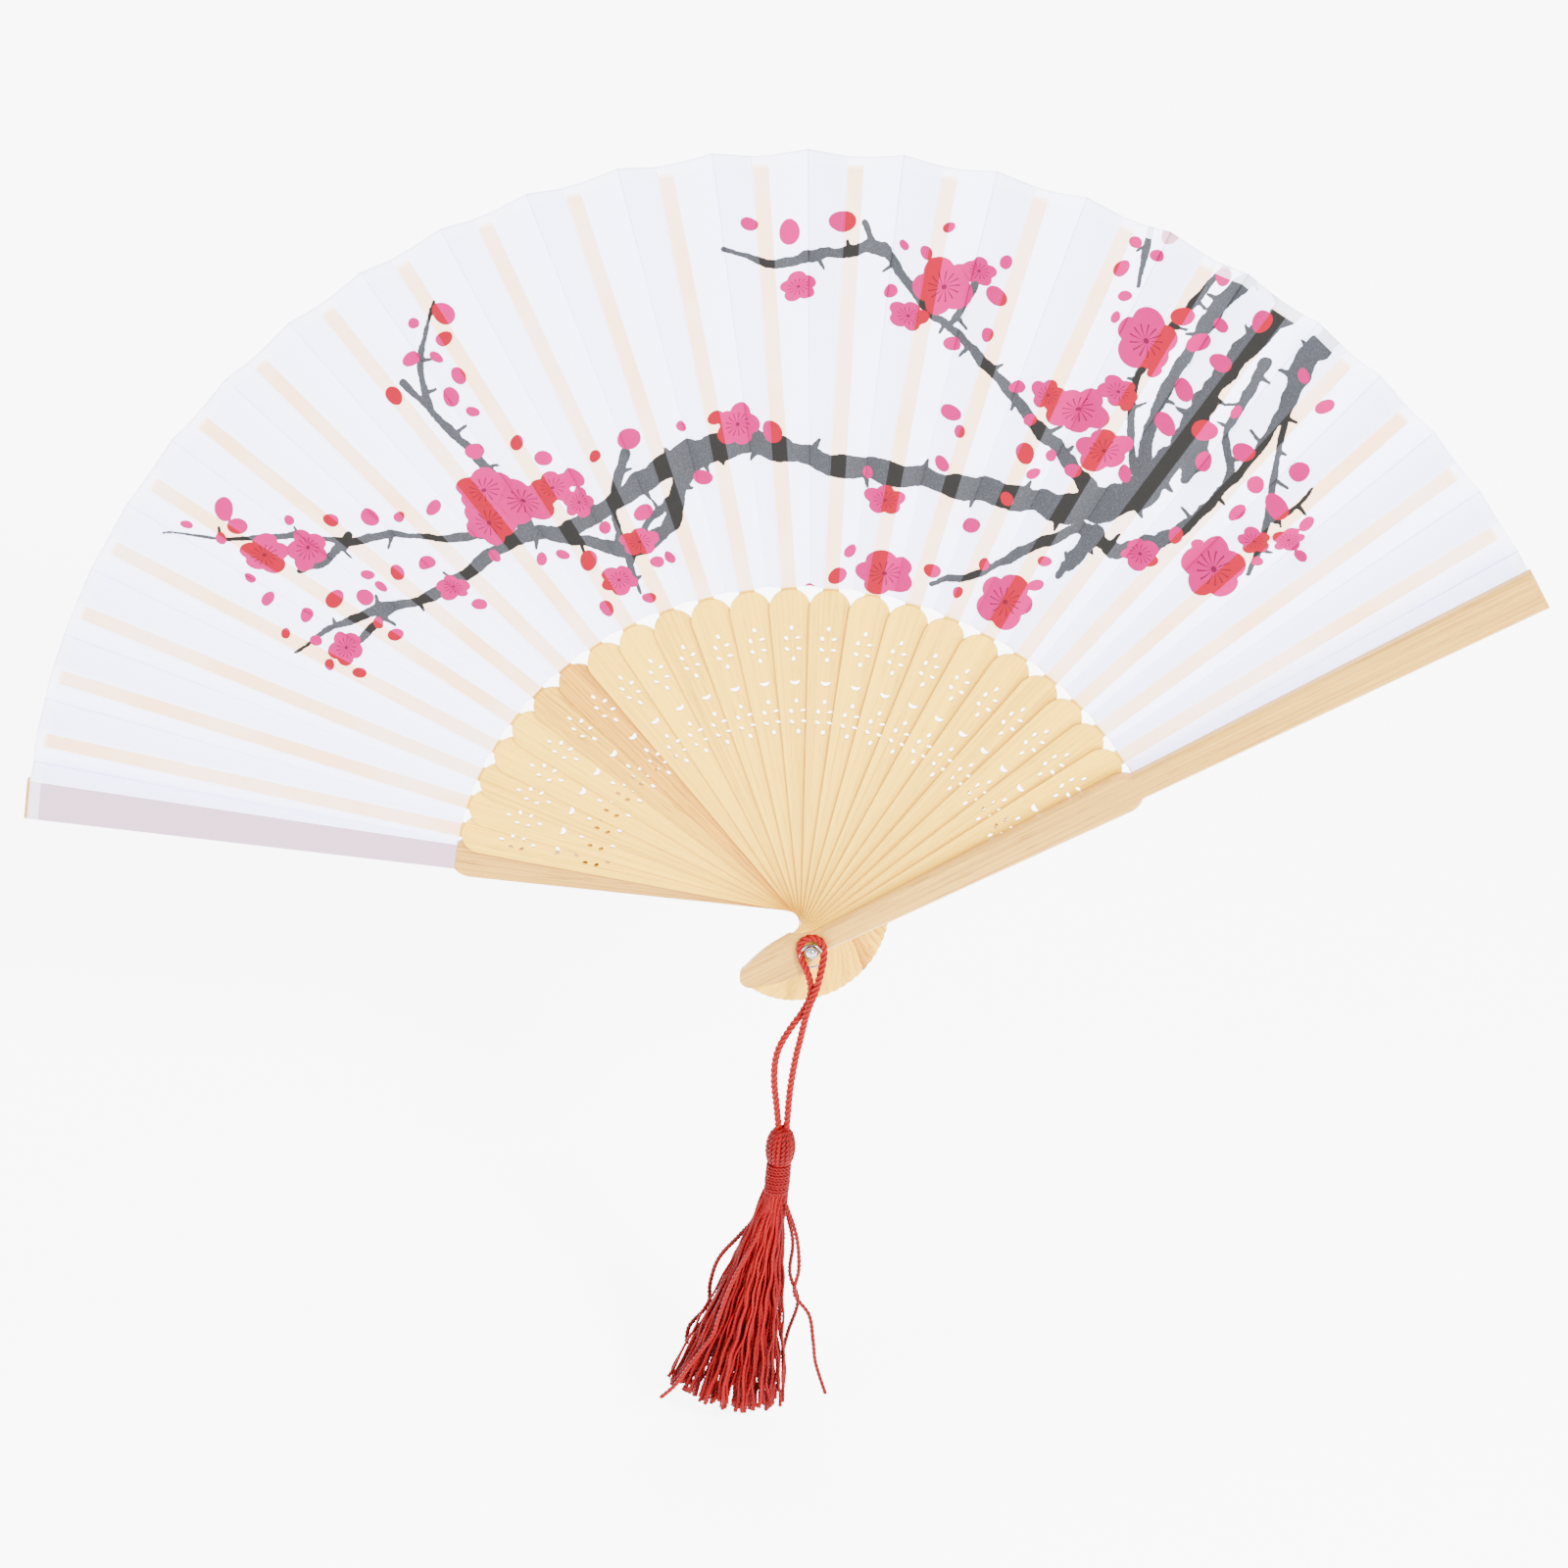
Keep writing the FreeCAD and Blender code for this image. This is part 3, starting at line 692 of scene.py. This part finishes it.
def add_print(piece):
    """Store on each point how far it lies inside or outside the print's branches, petals and blossoms."""
    count = len(piece.data.vertices)
    places = np.zeros(count * 3)
    piece.data.vertices.foreach_get("co", places)
    points = places.reshape(-1, 3)[:, [0, 2]] / MM
    ink = np.full(count, 9.0)
    petal = np.full(count, 9.0)
    bloom = np.full((count, 2), 9.0)
    for stroke in STROKES:
        chosen = near(points, (stroke[0] + stroke[1]) / 2, 8.0)
        if chosen.any():
            ink[chosen] = np.minimum(ink[chosen], stroke_distance(points[chosen], stroke))
    for number, (x, z, size, turn, plump) in enumerate(BLOSSOMS):
        middle = np.array((x, z))
        chosen = near(points, middle, size * 1.5)
        if not chosen.any():
            continue
        local = (points[chosen] - middle) / size
        squash = 0.86 + 0.14 * math.cos(number * 2.1)
        local[:, 1] /= squash
        for lobe in range(5):
            angle = math.radians(turn + 72 * lobe)
            wide = (0.45 + 0.05 * math.sin(number * 3.7 + lobe * 2.3)) * plump
            out = np.array((math.cos(angle), math.sin(angle))) * 0.52
            petal[chosen] = np.minimum(petal[chosen], (np.linalg.norm(local - out, axis=1) - wide) * size)
        petal[chosen] = np.minimum(petal[chosen], (np.linalg.norm(local, axis=1) - 0.3) * size)
        closer = np.linalg.norm(local, axis=1) < np.linalg.norm(bloom[chosen], axis=1)
        rows = np.flatnonzero(chosen)[closer]
        bloom[rows] = local[closer]
    for number, (x, z, size) in enumerate(BUDS):
        chosen = near(points, np.array((x, z)), size * 2)
        if chosen.any():
            local = points[chosen] - (x, z)
            angle = number * 1.7
            c, n = math.cos(angle), math.sin(angle)
            local = np.c_[local @ (c, n), local @ (-n, c)]
            egg = np.hypot(local[:, 0] * 0.84, local[:, 1] * (1.1 + 0.08 * local[:, 0] / size)) - size * 0.92
            petal[chosen] = np.minimum(petal[chosen], egg)
    give_attribute(piece, "ink", ink)
    give_attribute(piece, "petal", petal)
    give_attribute(piece, "bloom_x", bloom[:, 0])
    give_attribute(piece, "bloom_z", bloom[:, 1])


def leaf_material():
    """Thin white silk: slips that show through, the print, paler at the back, a hem and a fine weave."""
    leaf, ink_tones = settings("leaf"), settings("print")
    s = Surface("printed_silk")
    across = s.math("ABSOLUTE", s.attribute("across"))
    reach = s.attribute("reach")
    uneven = s.noise(s.place(scale=(900, 900, 900)), 1.0, 2.0)
    slip = s.step(across, leaf.slip_half - 0.25 * MM, leaf.slip_half - 0.05 * MM, 1.0, 0.0)
    short = s.step(reach, leaf.outer - 0.0022, leaf.outer - 0.0018, 1.0, 0.0)
    behind = s.times(slip, short)
    hem = s.step(reach, leaf.outer - leaf.hem - 0.0001, leaf.outer - leaf.hem + 0.0001)
    broad = s.noise(s.place(scale=(45, 45, 45)), 1.0, 2.0)
    shown = s.times(behind, s.step(broad, 0.25, 0.75, 0.72, 1.0))
    striped = s.mix(shown, leaf.silk, leaf.stripe)
    base = s.mix(s.step(s.attribute("over_guard"), -0.00005, 0.00015), striped, leaf.band)

    through = s.step(s.facing_back(), -0.1, 0.1, 1.0, 0.62)
    ragged = s.math("MULTIPLY_ADD", uneven, 0.5, -0.25)
    ink_edge = s.step(s.math("ADD", s.attribute("ink"), ragged), -0.07, 0.07, 1.0, 0.0)
    speck = s.noise(s.place(scale=(2600, 2600, 2600)), 1.0, 1.0)
    grey = s.mix(s.step(speck, 0.38, 0.72, 0.0, 0.35), ink_tones.ink, tuple(c * 2.1 for c in ink_tones.ink))
    ink_tone = s.mix(behind, grey, ink_tones.ink_dark)
    clear_of_hem = s.math("MULTIPLY_ADD", hem, -0.45, 1.0)
    ink_share = s.times(s.times(ink_edge, through), clear_of_hem)
    inked = s.mix(ink_share, base, ink_tone)

    petal_edge = s.step(s.math("MULTIPLY_ADD", ragged, 0.35, s.attribute("petal")), -0.07, 0.07, 1.0, 0.0)
    petal_tone = s.mix(behind, ink_tones.petal, ink_tones.petal_dark)
    blushed = s.mix(s.times(petal_edge, through), inked, petal_tone)

    x, z = s.attribute("bloom_x"), s.attribute("bloom_z")
    radius = s.math("SQRT", s.math("ADD", s.times(x, x), s.times(z, z)))
    angle = s.math("ARCTAN2", z, x)
    rays = s.math("SINE", s.math("MULTIPLY_ADD", angle, 13.0, s.times(radius, 4.0)))
    ray = s.step(rays, 0.72, 0.86)
    inside = s.times(s.step(radius, 0.08, 0.12), s.step(radius, 0.40, 0.46, 1.0, 0.0))
    from_tip = s.math("ABSOLUTE", s.math("SUBTRACT", radius, 0.46))
    tips = s.times(s.step(from_tip, 0.02, 0.05, 1.0, 0.0), ray)
    heart = s.step(radius, 0.07, 0.10, 1.0, 0.0)
    stamens = s.math("MAXIMUM", s.math("MAXIMUM", s.times(inside, ray), tips), heart)
    stamens = s.times(s.times(stamens, petal_edge), s.times(through, 0.8))
    printed = s.mix(stamens, blushed, (0.035, 0.004, 0.010))
    rim = s.mix(s.times(hem, 0.28), printed, (0.95, 0.95, 0.99))

    threads = s.noise(s.place(scale=(7000, 7000, 7000)), 1.0, 1.0)
    s.bump(s.math("MULTIPLY_ADD", hem, 1.6, threads), 0.22, 0.00005)
    return s.finish(rim, 0.85, Specular_IOR_Level=0.06)


# ---------- threads and cords

def transport(points):
    """Tangents and two crosswise directions along a line, carried without twist."""
    tangents = np.gradient(points, axis=0)
    tangents /= np.linalg.norm(tangents, axis=1)[:, None]
    side = np.cross(tangents[0], (0.31, 0.92, 0.2))
    sides = []
    for tangent in tangents:
        side = side - tangent * (side @ tangent)
        side /= np.linalg.norm(side)
        sides.append(side)
    sides = np.array(sides)
    return tangents, sides, np.cross(tangents, sides)


def twisted_tube(points, radius, lay, plies, around, taper=None):
    """Points and faces of a tube whose section has one lobe for each ply and turns once in each lay."""
    tangents, sides, ups = transport(points)
    run = np.concatenate([[0], np.cumsum(gaps(points))])
    turn = np.arange(around) * 2 * math.pi / around
    lobes = np.abs(np.cos(plies * turn / 2))
    section = radius * (0.76 + 0.44 * lobes)
    twist = run[:, None] / lay * 2 * math.pi + turn[None, :]
    size = section[None, :] * (np.ones(len(points)) if taper is None else np.asarray(taper))[:, None]
    rings = (
        points[:, None, :]
        + sides[:, None, :] * (size * np.cos(twist))[..., None]
        + ups[:, None, :] * (size * np.sin(twist))[..., None]
    )
    corners = rings.reshape(-1, 3)
    faces = grid_faces(around, len(points), True)
    last = len(points) * around
    ends = 0.3 * size.max(axis=1)[[0, -1]]
    corners = np.vstack([corners, points[0] - tangents[0] * ends[0], points[-1] + tangents[-1] * ends[1]])
    for c in range(around):
        n = (c + 1) % around
        faces.append((last, n, c))
        faces.append((last + 1, last - around + c, last - around + n))
    return corners, faces, np.tile(lobes, len(points))


def resample(points, spacing):
    """The same line with points an even distance apart."""
    run = np.concatenate([[0], np.cumsum(gaps(points))])
    even = np.linspace(0, run[-1], max(4, int(run[-1] / spacing) + 1))
    return np.stack([np.interp(even, run, points[:, i]) for i in range(3)], axis=1)


def thread_bundle(name, lines, radius, lay, plies, around, spacing, tapers=None):
    """Many twisted threads as one piece, each with a tone of its own."""
    chance = np.random.default_rng(SEED)
    corners, faces, lobes, tones = [], [], [], []
    count = 0
    for line in lines:
        points = np.asarray(line, float)
        if spacing:
            points = resample(points, spacing)
        taper = None if tapers is None else np.interp(np.linspace(0, 1, len(points)), *tapers)
        size = radius * chance.uniform(0.88, 1.1)
        new, quads, lobe = twisted_tube(points, size, lay, plies, around, taper)
        corners.append(new)
        faces += [tuple(i + count for i in f) for f in quads]
        lobes.append(np.concatenate([lobe, [0.5, 0.5]]))
        tones.append(np.full(len(new), chance.random()))
        count += len(new)
    piece = new_mesh_object(name, np.vstack(corners).tolist(), faces)
    shade_smooth(piece)
    give_attribute(piece, "lobe", np.concatenate(lobes))
    give_attribute(piece, "tone", np.concatenate(tones))
    return piece


def thread_material(name, base, roughness):
    """Glossy dyed thread: darker between the plies with painted shade, and a little different from thread to
    thread.
    """
    s = Surface(name)
    tone = s.attribute("tone")
    # painted shade: the colour darkens in the grooves between the plies
    groove_shade = s.mix(s.step(s.attribute("lobe"), 0.0, 0.75, 0.0, 1.0), tuple(c * 0.16 for c in base), base)
    light = s.mix(s.step(tone, 0.2, 1.0, 0.0, 0.5), groove_shade, tuple(c * 1.6 + 0.001 for c in base))
    fibre = s.noise(s.place(scale=(5200, 5200, 1600)), 1.0, 2.0)
    s.bump(fibre, 0.35, 0.00006)
    return s.finish(light, roughness, Specular_IOR_Level=0.08)


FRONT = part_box("front_guard")[0].y / MM
BACK_Y = FRONT - 1.0
HANG_Y = FRONT - 2.9

# The cord leaves the tassel's head, goes up on the left, over the rivet's shank and down on the right.
CORD_ROUTE = [
    (-7.9, HANG_Y, -47.2), (-8.4, HANG_Y, -40.6), (-9.2, HANG_Y, -33.0),
    (-8.5, HANG_Y + 0.1, -26.0), (-5.4, HANG_Y + 0.6, -20.4), (-1.9, HANG_Y + 1.0, -15.6),
    (0.1, HANG_Y + 0.9, -11.0), (-0.6, HANG_Y + 0.3, -5.6), (-2.9, BACK_Y - 0.1, -1.4),
    (-2.7, BACK_Y, 2.2), (0.0, BACK_Y, 3.7), (2.7, BACK_Y, 2.2),
    (3.1, BACK_Y - 0.3, -1.2), (2.2, HANG_Y, -5.2), (0.9, HANG_Y - 0.7, -10.0),
    (-1.2, HANG_Y - 1.0, -15.0), (-2.4, HANG_Y - 0.6, -21.0), (-3.9, HANG_Y, -27.6),
    (-5.1, HANG_Y, -35.0), (-5.7, HANG_Y, -41.4), (-6.1, HANG_Y, -47.2),
]


def spline_line(points):
    """The smooth line that a NURBS spline makes of the route's points."""
    data = bpy.data.curves.new("route", "CURVE")
    data.dimensions = "3D"
    data.resolution_u = 24
    spline = data.splines.new("NURBS")
    spline.points.add(len(points) - 1)
    for place, point in zip(spline.points, points):
        place.co = (*(c * MM for c in point), 1)
    spline.order_u = 3
    spline.use_endpoint_u = True
    holder = add_object("route", data)
    mesh = bpy.data.meshes.new_from_object(holder)
    line = np.array([v.co for v in mesh.vertices])
    bpy.data.objects.remove(holder)
    bpy.data.meshes.remove(mesh)
    return line


class FAN_OT_cord(bpy.types.Operator):
    """Lay the twisted cord from the tassel over the rivet and back."""

    bl_idname = "fan.cord"
    bl_label = "Twisted cord"

    def execute(self, context):
        cord = settings("cord")
        line = spline_line(CORD_ROUTE)
        piece = thread_bundle("red_cord", [line], cord.cord / 2, cord.lay, 3, 24, None)
        wear(piece, thread_material("cord_thread", tuple(cord.red), 0.55))
        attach(piece, "tassel")
        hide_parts("cord")
        return {"FINISHED"}


# ---------- tassel

def node_axis(node):
    """Middle of a node's top and middle of its foot, from its mesh."""
    places = np.array([v.co for v in frame["nodes"][node].data.vertices])
    low, high = places[:, 2].min(), places[:, 2].max()
    tall = high - low
    top = places[places[:, 2] > high - 0.12 * tall].mean(axis=0)
    foot = places[places[:, 2] < low + 0.12 * tall].mean(axis=0)
    return top, foot


class FAN_OT_tassel(bpy.types.Operator):
    """Make the tassel: looped threads over its head, a wound neck and a skirt of twisted threads."""

    bl_idname = "fan.tassel"
    bl_label = "Tassel"

    def execute(self, context):
        cord = settings("cord")
        red = thread_material("tassel_thread", tuple(cord.skirt), 0.50)
        self.head(red)
        self.bundle(red)
        self.wrap(red)
        self.skirt(cord, red)
        return {"FINISHED"}

    def put_on(self, piece, red):
        """One more piece of the tassel's thread, which swings with the tassel."""
        wear(piece, red)
        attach(piece, "tassel")

    def head(self, red):
        """Threads that loop down over the bundle's head from the cord to the neck."""
        middle, half, tall = self.head_size()
        lean = Matrix.Rotation(TASSEL_LEAN, 3, "Y")
        lines = []
        strands = 18
        for number in range(strands):
            angle = 2 * math.pi * number / strands
            line = []
            for share in np.linspace(0.06, 1.0, 16):
                polar = math.pi * 0.84 * share
                wide = (half - 0.4 * MM) * math.sin(polar) ** 0.9
                place = Vector((wide * math.cos(angle), wide * math.sin(angle), tall * math.cos(polar)))
                line.append(middle + lean @ place)
            lines.append(line)
        piece = thread_bundle("tassel_loops", lines, 0.54 * MM, 2.4 * MM, 2, 8, 0.28 * MM)
        self.put_on(piece, red)
        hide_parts("tassel_head")

    def head_size(self):
        """The head's middle, its half width and its half height."""
        low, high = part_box("tassel_head")
        middle = (low + high) / 2
        middle.z = high.z - HEAD_TALL - 0.1 * MM
        return middle, (high.y - low.y) / 2 + 0.15 * MM, HEAD_TALL

    def bundle(self, red):
        """The gathered threads inside the head and the neck, round at the top and waisted below the head."""
        middle, half, tall = self.head_size()
        top, foot = node_axis("tassel_wrap")
        down = Vector(foot - top).normalized()
        start = middle - down * (tall - 0.7 * MM)
        end = Vector(foot) + down * 0.4 * MM
        low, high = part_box("tassel_wrap")
        neck = (high.y - low.y) / 2 - 0.5 * MM
        shares = np.linspace(0, 1, 60)
        height = tall - 0.7 * MM - shares * (end - start).length
        round_top = (half - 0.85 * MM) * np.sqrt(np.clip(1 - (height / tall) ** 2, 0, 1))
        widths = np.where(height > 0, round_top, np.maximum(round_top, neck))
        line = [start.lerp(end, share) for share in shares]
        piece = thread_bundle("tassel_bundle", [line], half, 60 * MM, 16, 64, None, (shares, widths / half))
        self.put_on(piece, red)

    def wrap(self, red):
        """Thread wound round the neck, a little slack."""
        top, foot = node_axis("tassel_wrap")
        axis = (foot - top) / np.linalg.norm(foot - top)
        low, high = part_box("tassel_wrap")
        radius = (high.y - low.y) / 2 - 0.25 * MM
        middle = (np.array(low) + np.array(high)) / 2
        side = np.cross(axis, (0, 1, 0))
        side /= np.linalg.norm(side)
        depth = np.cross(axis, side)
        shares = np.linspace(0, 1, WRAP_TURNS * 36)
        angle = shares * WRAP_TURNS * 2 * math.pi
        slack = 1 + 0.05 * np.sin(shares * math.pi) + 0.02 * np.sin(angle * 0.37)
        line = (
            middle
            + axis * ((shares - 0.5) * WRAP_TALL)[:, None]
            + side * (radius * slack * np.cos(angle))[:, None]
            + depth * (radius * slack * np.sin(angle))[:, None]
        )
        piece = thread_bundle("neck_wrap", [line], 0.40 * MM, 1.8 * MM, 2, 8, 0.25 * MM)
        self.put_on(piece, red)
        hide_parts("tassel_wrap")

    def skirt(self, cord, red):
        """Twisted threads that spread towards their cut ends, and a few that have come loose."""
        chance = np.random.default_rng(SEED + 3)
        foot = node_axis("tassel_skirt")[1]
        low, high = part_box("tassel_skirt")
        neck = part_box("tassel_wrap")
        start = Vector(((neck[0].x + neck[1].x) / 2 - 0.4 * MM, (low.y + high.y) / 2, neck[0].z + 1.2 * MM))
        down = (Vector(foot) - start).normalized()
        depth = Vector((0, 1, 0))
        side = depth.cross(down).normalized()
        wide = SKIRT_LONG * 0.255
        lines = []
        for number in range(cord.threads):
            share = math.sqrt((number + 0.5) / cord.threads)
            angle = number * GOLDEN_ANGLE
            u, v = share * math.cos(angle), share * math.sin(angle)
            reach = SKIRT_LONG * (1 + chance.uniform(-0.025, 0.02)) * (1 - 0.05 * share * share)
            loose = chance.uniform(-1, 1, 6)
            line = []
            for t in np.linspace(0, 1, 64):
                open_wide = SKIRT_NECK + (wide - SKIRT_NECK) * (0.45 * t + 0.55 * t**1.5)
                crimp = 0.2 * MM * math.sin((38 + 8 * loose[1]) * t + number)
                sway = loose[0] * math.sin(6 * t + loose[1] * 3) + 0.8 * loose[2] * math.sin(13 * t)
                dip = loose[3] * math.sin(5 * t + loose[4] * 3) + 0.7 * loose[5] * math.sin(9 * t)
                sideways = side * (u * open_wide + MM * t * sway + crimp)
                forward = depth * (v * open_wide * 0.72 + MM * t * dip - crimp)
                line.append(start + down * reach * t + sideways + forward)
            lines.append(line)
        frayed = ((0, 0.93, 0.97, 1.0), (1, 1, 1.35, 1.5))
        piece = thread_bundle("tassel_fringe", lines, 0.47 * cord.thread, 2.4 * MM, 2, 6, 0.62 * MM, frayed)
        self.put_on(piece, red)
        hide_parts("tassel_skirt")
        lines = self.strays(start)
        piece = thread_bundle("tassel_strays", lines, 0.68 * cord.thread, 2.4 * MM, 2, 8, 0.4 * MM)
        self.put_on(piece, red)

    def strays(self, start):
        """Loose threads, by their places in millimetres (across, forward, down) from the neck's foot."""
        routes = [
            [(0, 0, 2), (2.6, 2, -4), (5.0, 3, -12), (5.5, 4, -20), (4.4, 4, -27), (8.0, 4, -33),
             (9.0, 5, -40), (9.6, 5, -46), (12.0, 6, -54)],
            [(0, 0, 2), (-3.4, -2, -7), (-9.0, -4, -15), (-14.2, -5, -22), (-16.4, -5, -29),
             (-17.0, -5, -35), (-21.6, -5, -41), (-22.4, -5, -46)],
            [(0, 0, 2), (-4.0, 3, -10), (-10.4, 6, -22), (-13.8, 7, -31), (-15.6, 7, -37), (-20.0, 8, -43),
             (-24.6, 8, -50), (-28.6, 8, -54)],
            [(0, 0, 2), (2.4, -3, -8), (4.0, -4, -17), (3.2, -5, -26), (5.2, -5, -34), (2.8, -6, -43),
             (1.2, -6, -50)],
            [(0, 0, 2), (-3.6, -3, -12), (-7.6, -6, -21), (-13.0, -7, -30), (-13.4, -7, -38),
             (-18.6, -8, -46), (-19.8, -8, -53)],
        ]
        return [[start + Vector((x, -y, z)) * MM for x, y, z in smooth_line(route)] for route in routes]


# ---------- metal

class FAN_OT_metal(bpy.types.Operator):
    """Polish the rivet and the wire ring."""

    bl_idname = "fan.metal"
    bl_label = "Rivet and ring"

    def execute(self, context):
        s = Surface("bright_metal")
        scratches = s.noise(s.place(scale=(900, 900, 4000)), 1.0, 3.0)
        s.bump(scratches, 0.2, 0.00003)
        material = s.finish((0.30, 0.30, 0.32), s.step(scratches, 0.3, 0.7, 0.10, 0.26), Metallic=1.0)
        for name in ("rivet", "rivet_dome", "wire_ring"):
            wear(frame["nodes"][name], material)
            join_points(frame["nodes"][name])
        return {"FINISHED"}


# ---------- stage

class FAN_OT_stage(bpy.types.Operator):
    """Set up the camera, the pale floor with its backdrop, and soft light."""

    bl_idname = "fan.stage"
    bl_label = "Stage"

    def execute(self, context):
        stage = settings("stage")
        self.camera(stage)
        self.floor(stage)
        self.lamp("key", (0.75, -1.5, 0.95), 0.3, 112)
        self.lamp("fill", (-1.3, -1.3, 0.9), 1.0, 18)
        self.lamp("top", (0.1, 0.1, 1.9), 1.2, 10)
        world = bpy.data.worlds.new("studio")
        world.use_nodes = True
        light = world.node_tree.nodes["Background"].inputs
        light["Color"].default_value = (1, 1, 1, 1)
        light["Strength"].default_value = 1.9
        context.scene.world = world
        return {"FINISHED"}

    def camera(self, stage):
        """A long lens aimed at the rivet's head, which stays in the frame's lower half."""
        data = bpy.data.cameras.new("camera")
        camera = add_object("camera", data)
        aim = Vector((0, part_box("front_guard")[0].y, 0))
        away = Vector((0, -math.cos(stage.elevation), math.sin(stage.elevation)))
        camera.location = aim + away * stage.distance
        camera.rotation_euler = (-away).to_track_quat("-Z", "Y").to_euler()
        data.sensor_width = 36
        data.lens = 112.5
        data.shift_x = -0.0175
        data.shift_y = 0.105
        data.clip_end = 20
        bpy.context.scene.camera = camera

    def floor(self, stage):
        """A floor that turns up into a wall behind."""
        low = CAD_BOX[0][2] - 4 * MM
        bpy.ops.object.select_all(action="DESELECT")
        bpy.ops.mesh.primitive_plane_add(size=6, location=(0, 0, low))
        floor = bpy.context.object
        floor.name = "stage_floor"
        bpy.ops.object.transform_apply(location=True, rotation=False, scale=False)
        bpy.ops.object.mode_set(mode="EDIT")
        bpy.ops.mesh.select_all(action="DESELECT")
        bpy.ops.object.mode_set(mode="OBJECT")
        for edge in floor.data.edges:
            ends = [floor.data.vertices[i].co.y for i in edge.vertices]
            edge.select = min(ends) > 2.9
        bpy.ops.object.mode_set(mode="EDIT")
        bpy.ops.mesh.extrude_region_move(TRANSFORM_OT_translate={"value": (0, 0.4, 4)})
        bpy.ops.object.mode_set(mode="OBJECT")
        curve = floor.modifiers.new("Bevel", "BEVEL")
        curve.width = 1.2
        curve.segments = 16
        bpy.ops.object.shade_smooth()
        s = Surface("backdrop")
        wear(floor, s.finish(tuple(stage.floor), 0.9, Specular_IOR_Level=0.1, Emission_Color=(1, 1, 1, 1),
                             Emission_Strength=stage.glow))

    def lamp(self, name, place, size, power):
        data = bpy.data.lights.new(name, "AREA")
        data.size = size
        data.energy = power
        lamp = add_object(name, data)
        lamp.location = place
        lamp.rotation_euler = (Vector((0, 0, 0.05)) - Vector(place)).to_track_quat("-Z", "Y").to_euler()


# ---------- panel and run

class FAN_PT_sidebar(bpy.types.Panel):
    """Lists the fan's pieces."""

    bl_idname = "FAN_PT_sidebar"
    bl_label = "Folding Fan"
    bl_space_type = "VIEW_3D"
    bl_region_type = "UI"
    bl_category = "Fan"

    def draw(self, context):
        for operator in OPERATORS:
            self.layout.operator(operator.bl_idname)


GROUPS = {
    "leaf": FanLeafSettings,
    "print": FanPrintSettings,
    "bamboo": FanBambooSettings,
    "cord": FanCordSettings,
    "stage": FanStageSettings,
}
OPERATORS = [FAN_OT_stage, FAN_OT_cord, FAN_OT_tassel, FAN_OT_metal, FAN_OT_sticks, FAN_OT_leaf]


def register():
    for cls in (*GROUPS.values(), *OPERATORS, FAN_PT_sidebar):
        bpy.utils.register_class(cls)
    for name, group in GROUPS.items():
        setattr(bpy.types.Scene, "fan_" + name, PointerProperty(type=group))


def unregister():
    for name in GROUPS:
        delattr(bpy.types.Scene, "fan_" + name)
    for cls in (FAN_PT_sidebar, *reversed(OPERATORS), *GROUPS.values()):
        bpy.utils.unregister_class(cls)


def main():
    register()
    bpy.ops.fan.stage()
    bpy.ops.fan.cord()
    bpy.ops.fan.tassel()
    bpy.ops.fan.metal()
    bpy.ops.fan.sticks()
    bpy.ops.fan.leaf()


if __name__ == "__main__":
    main()
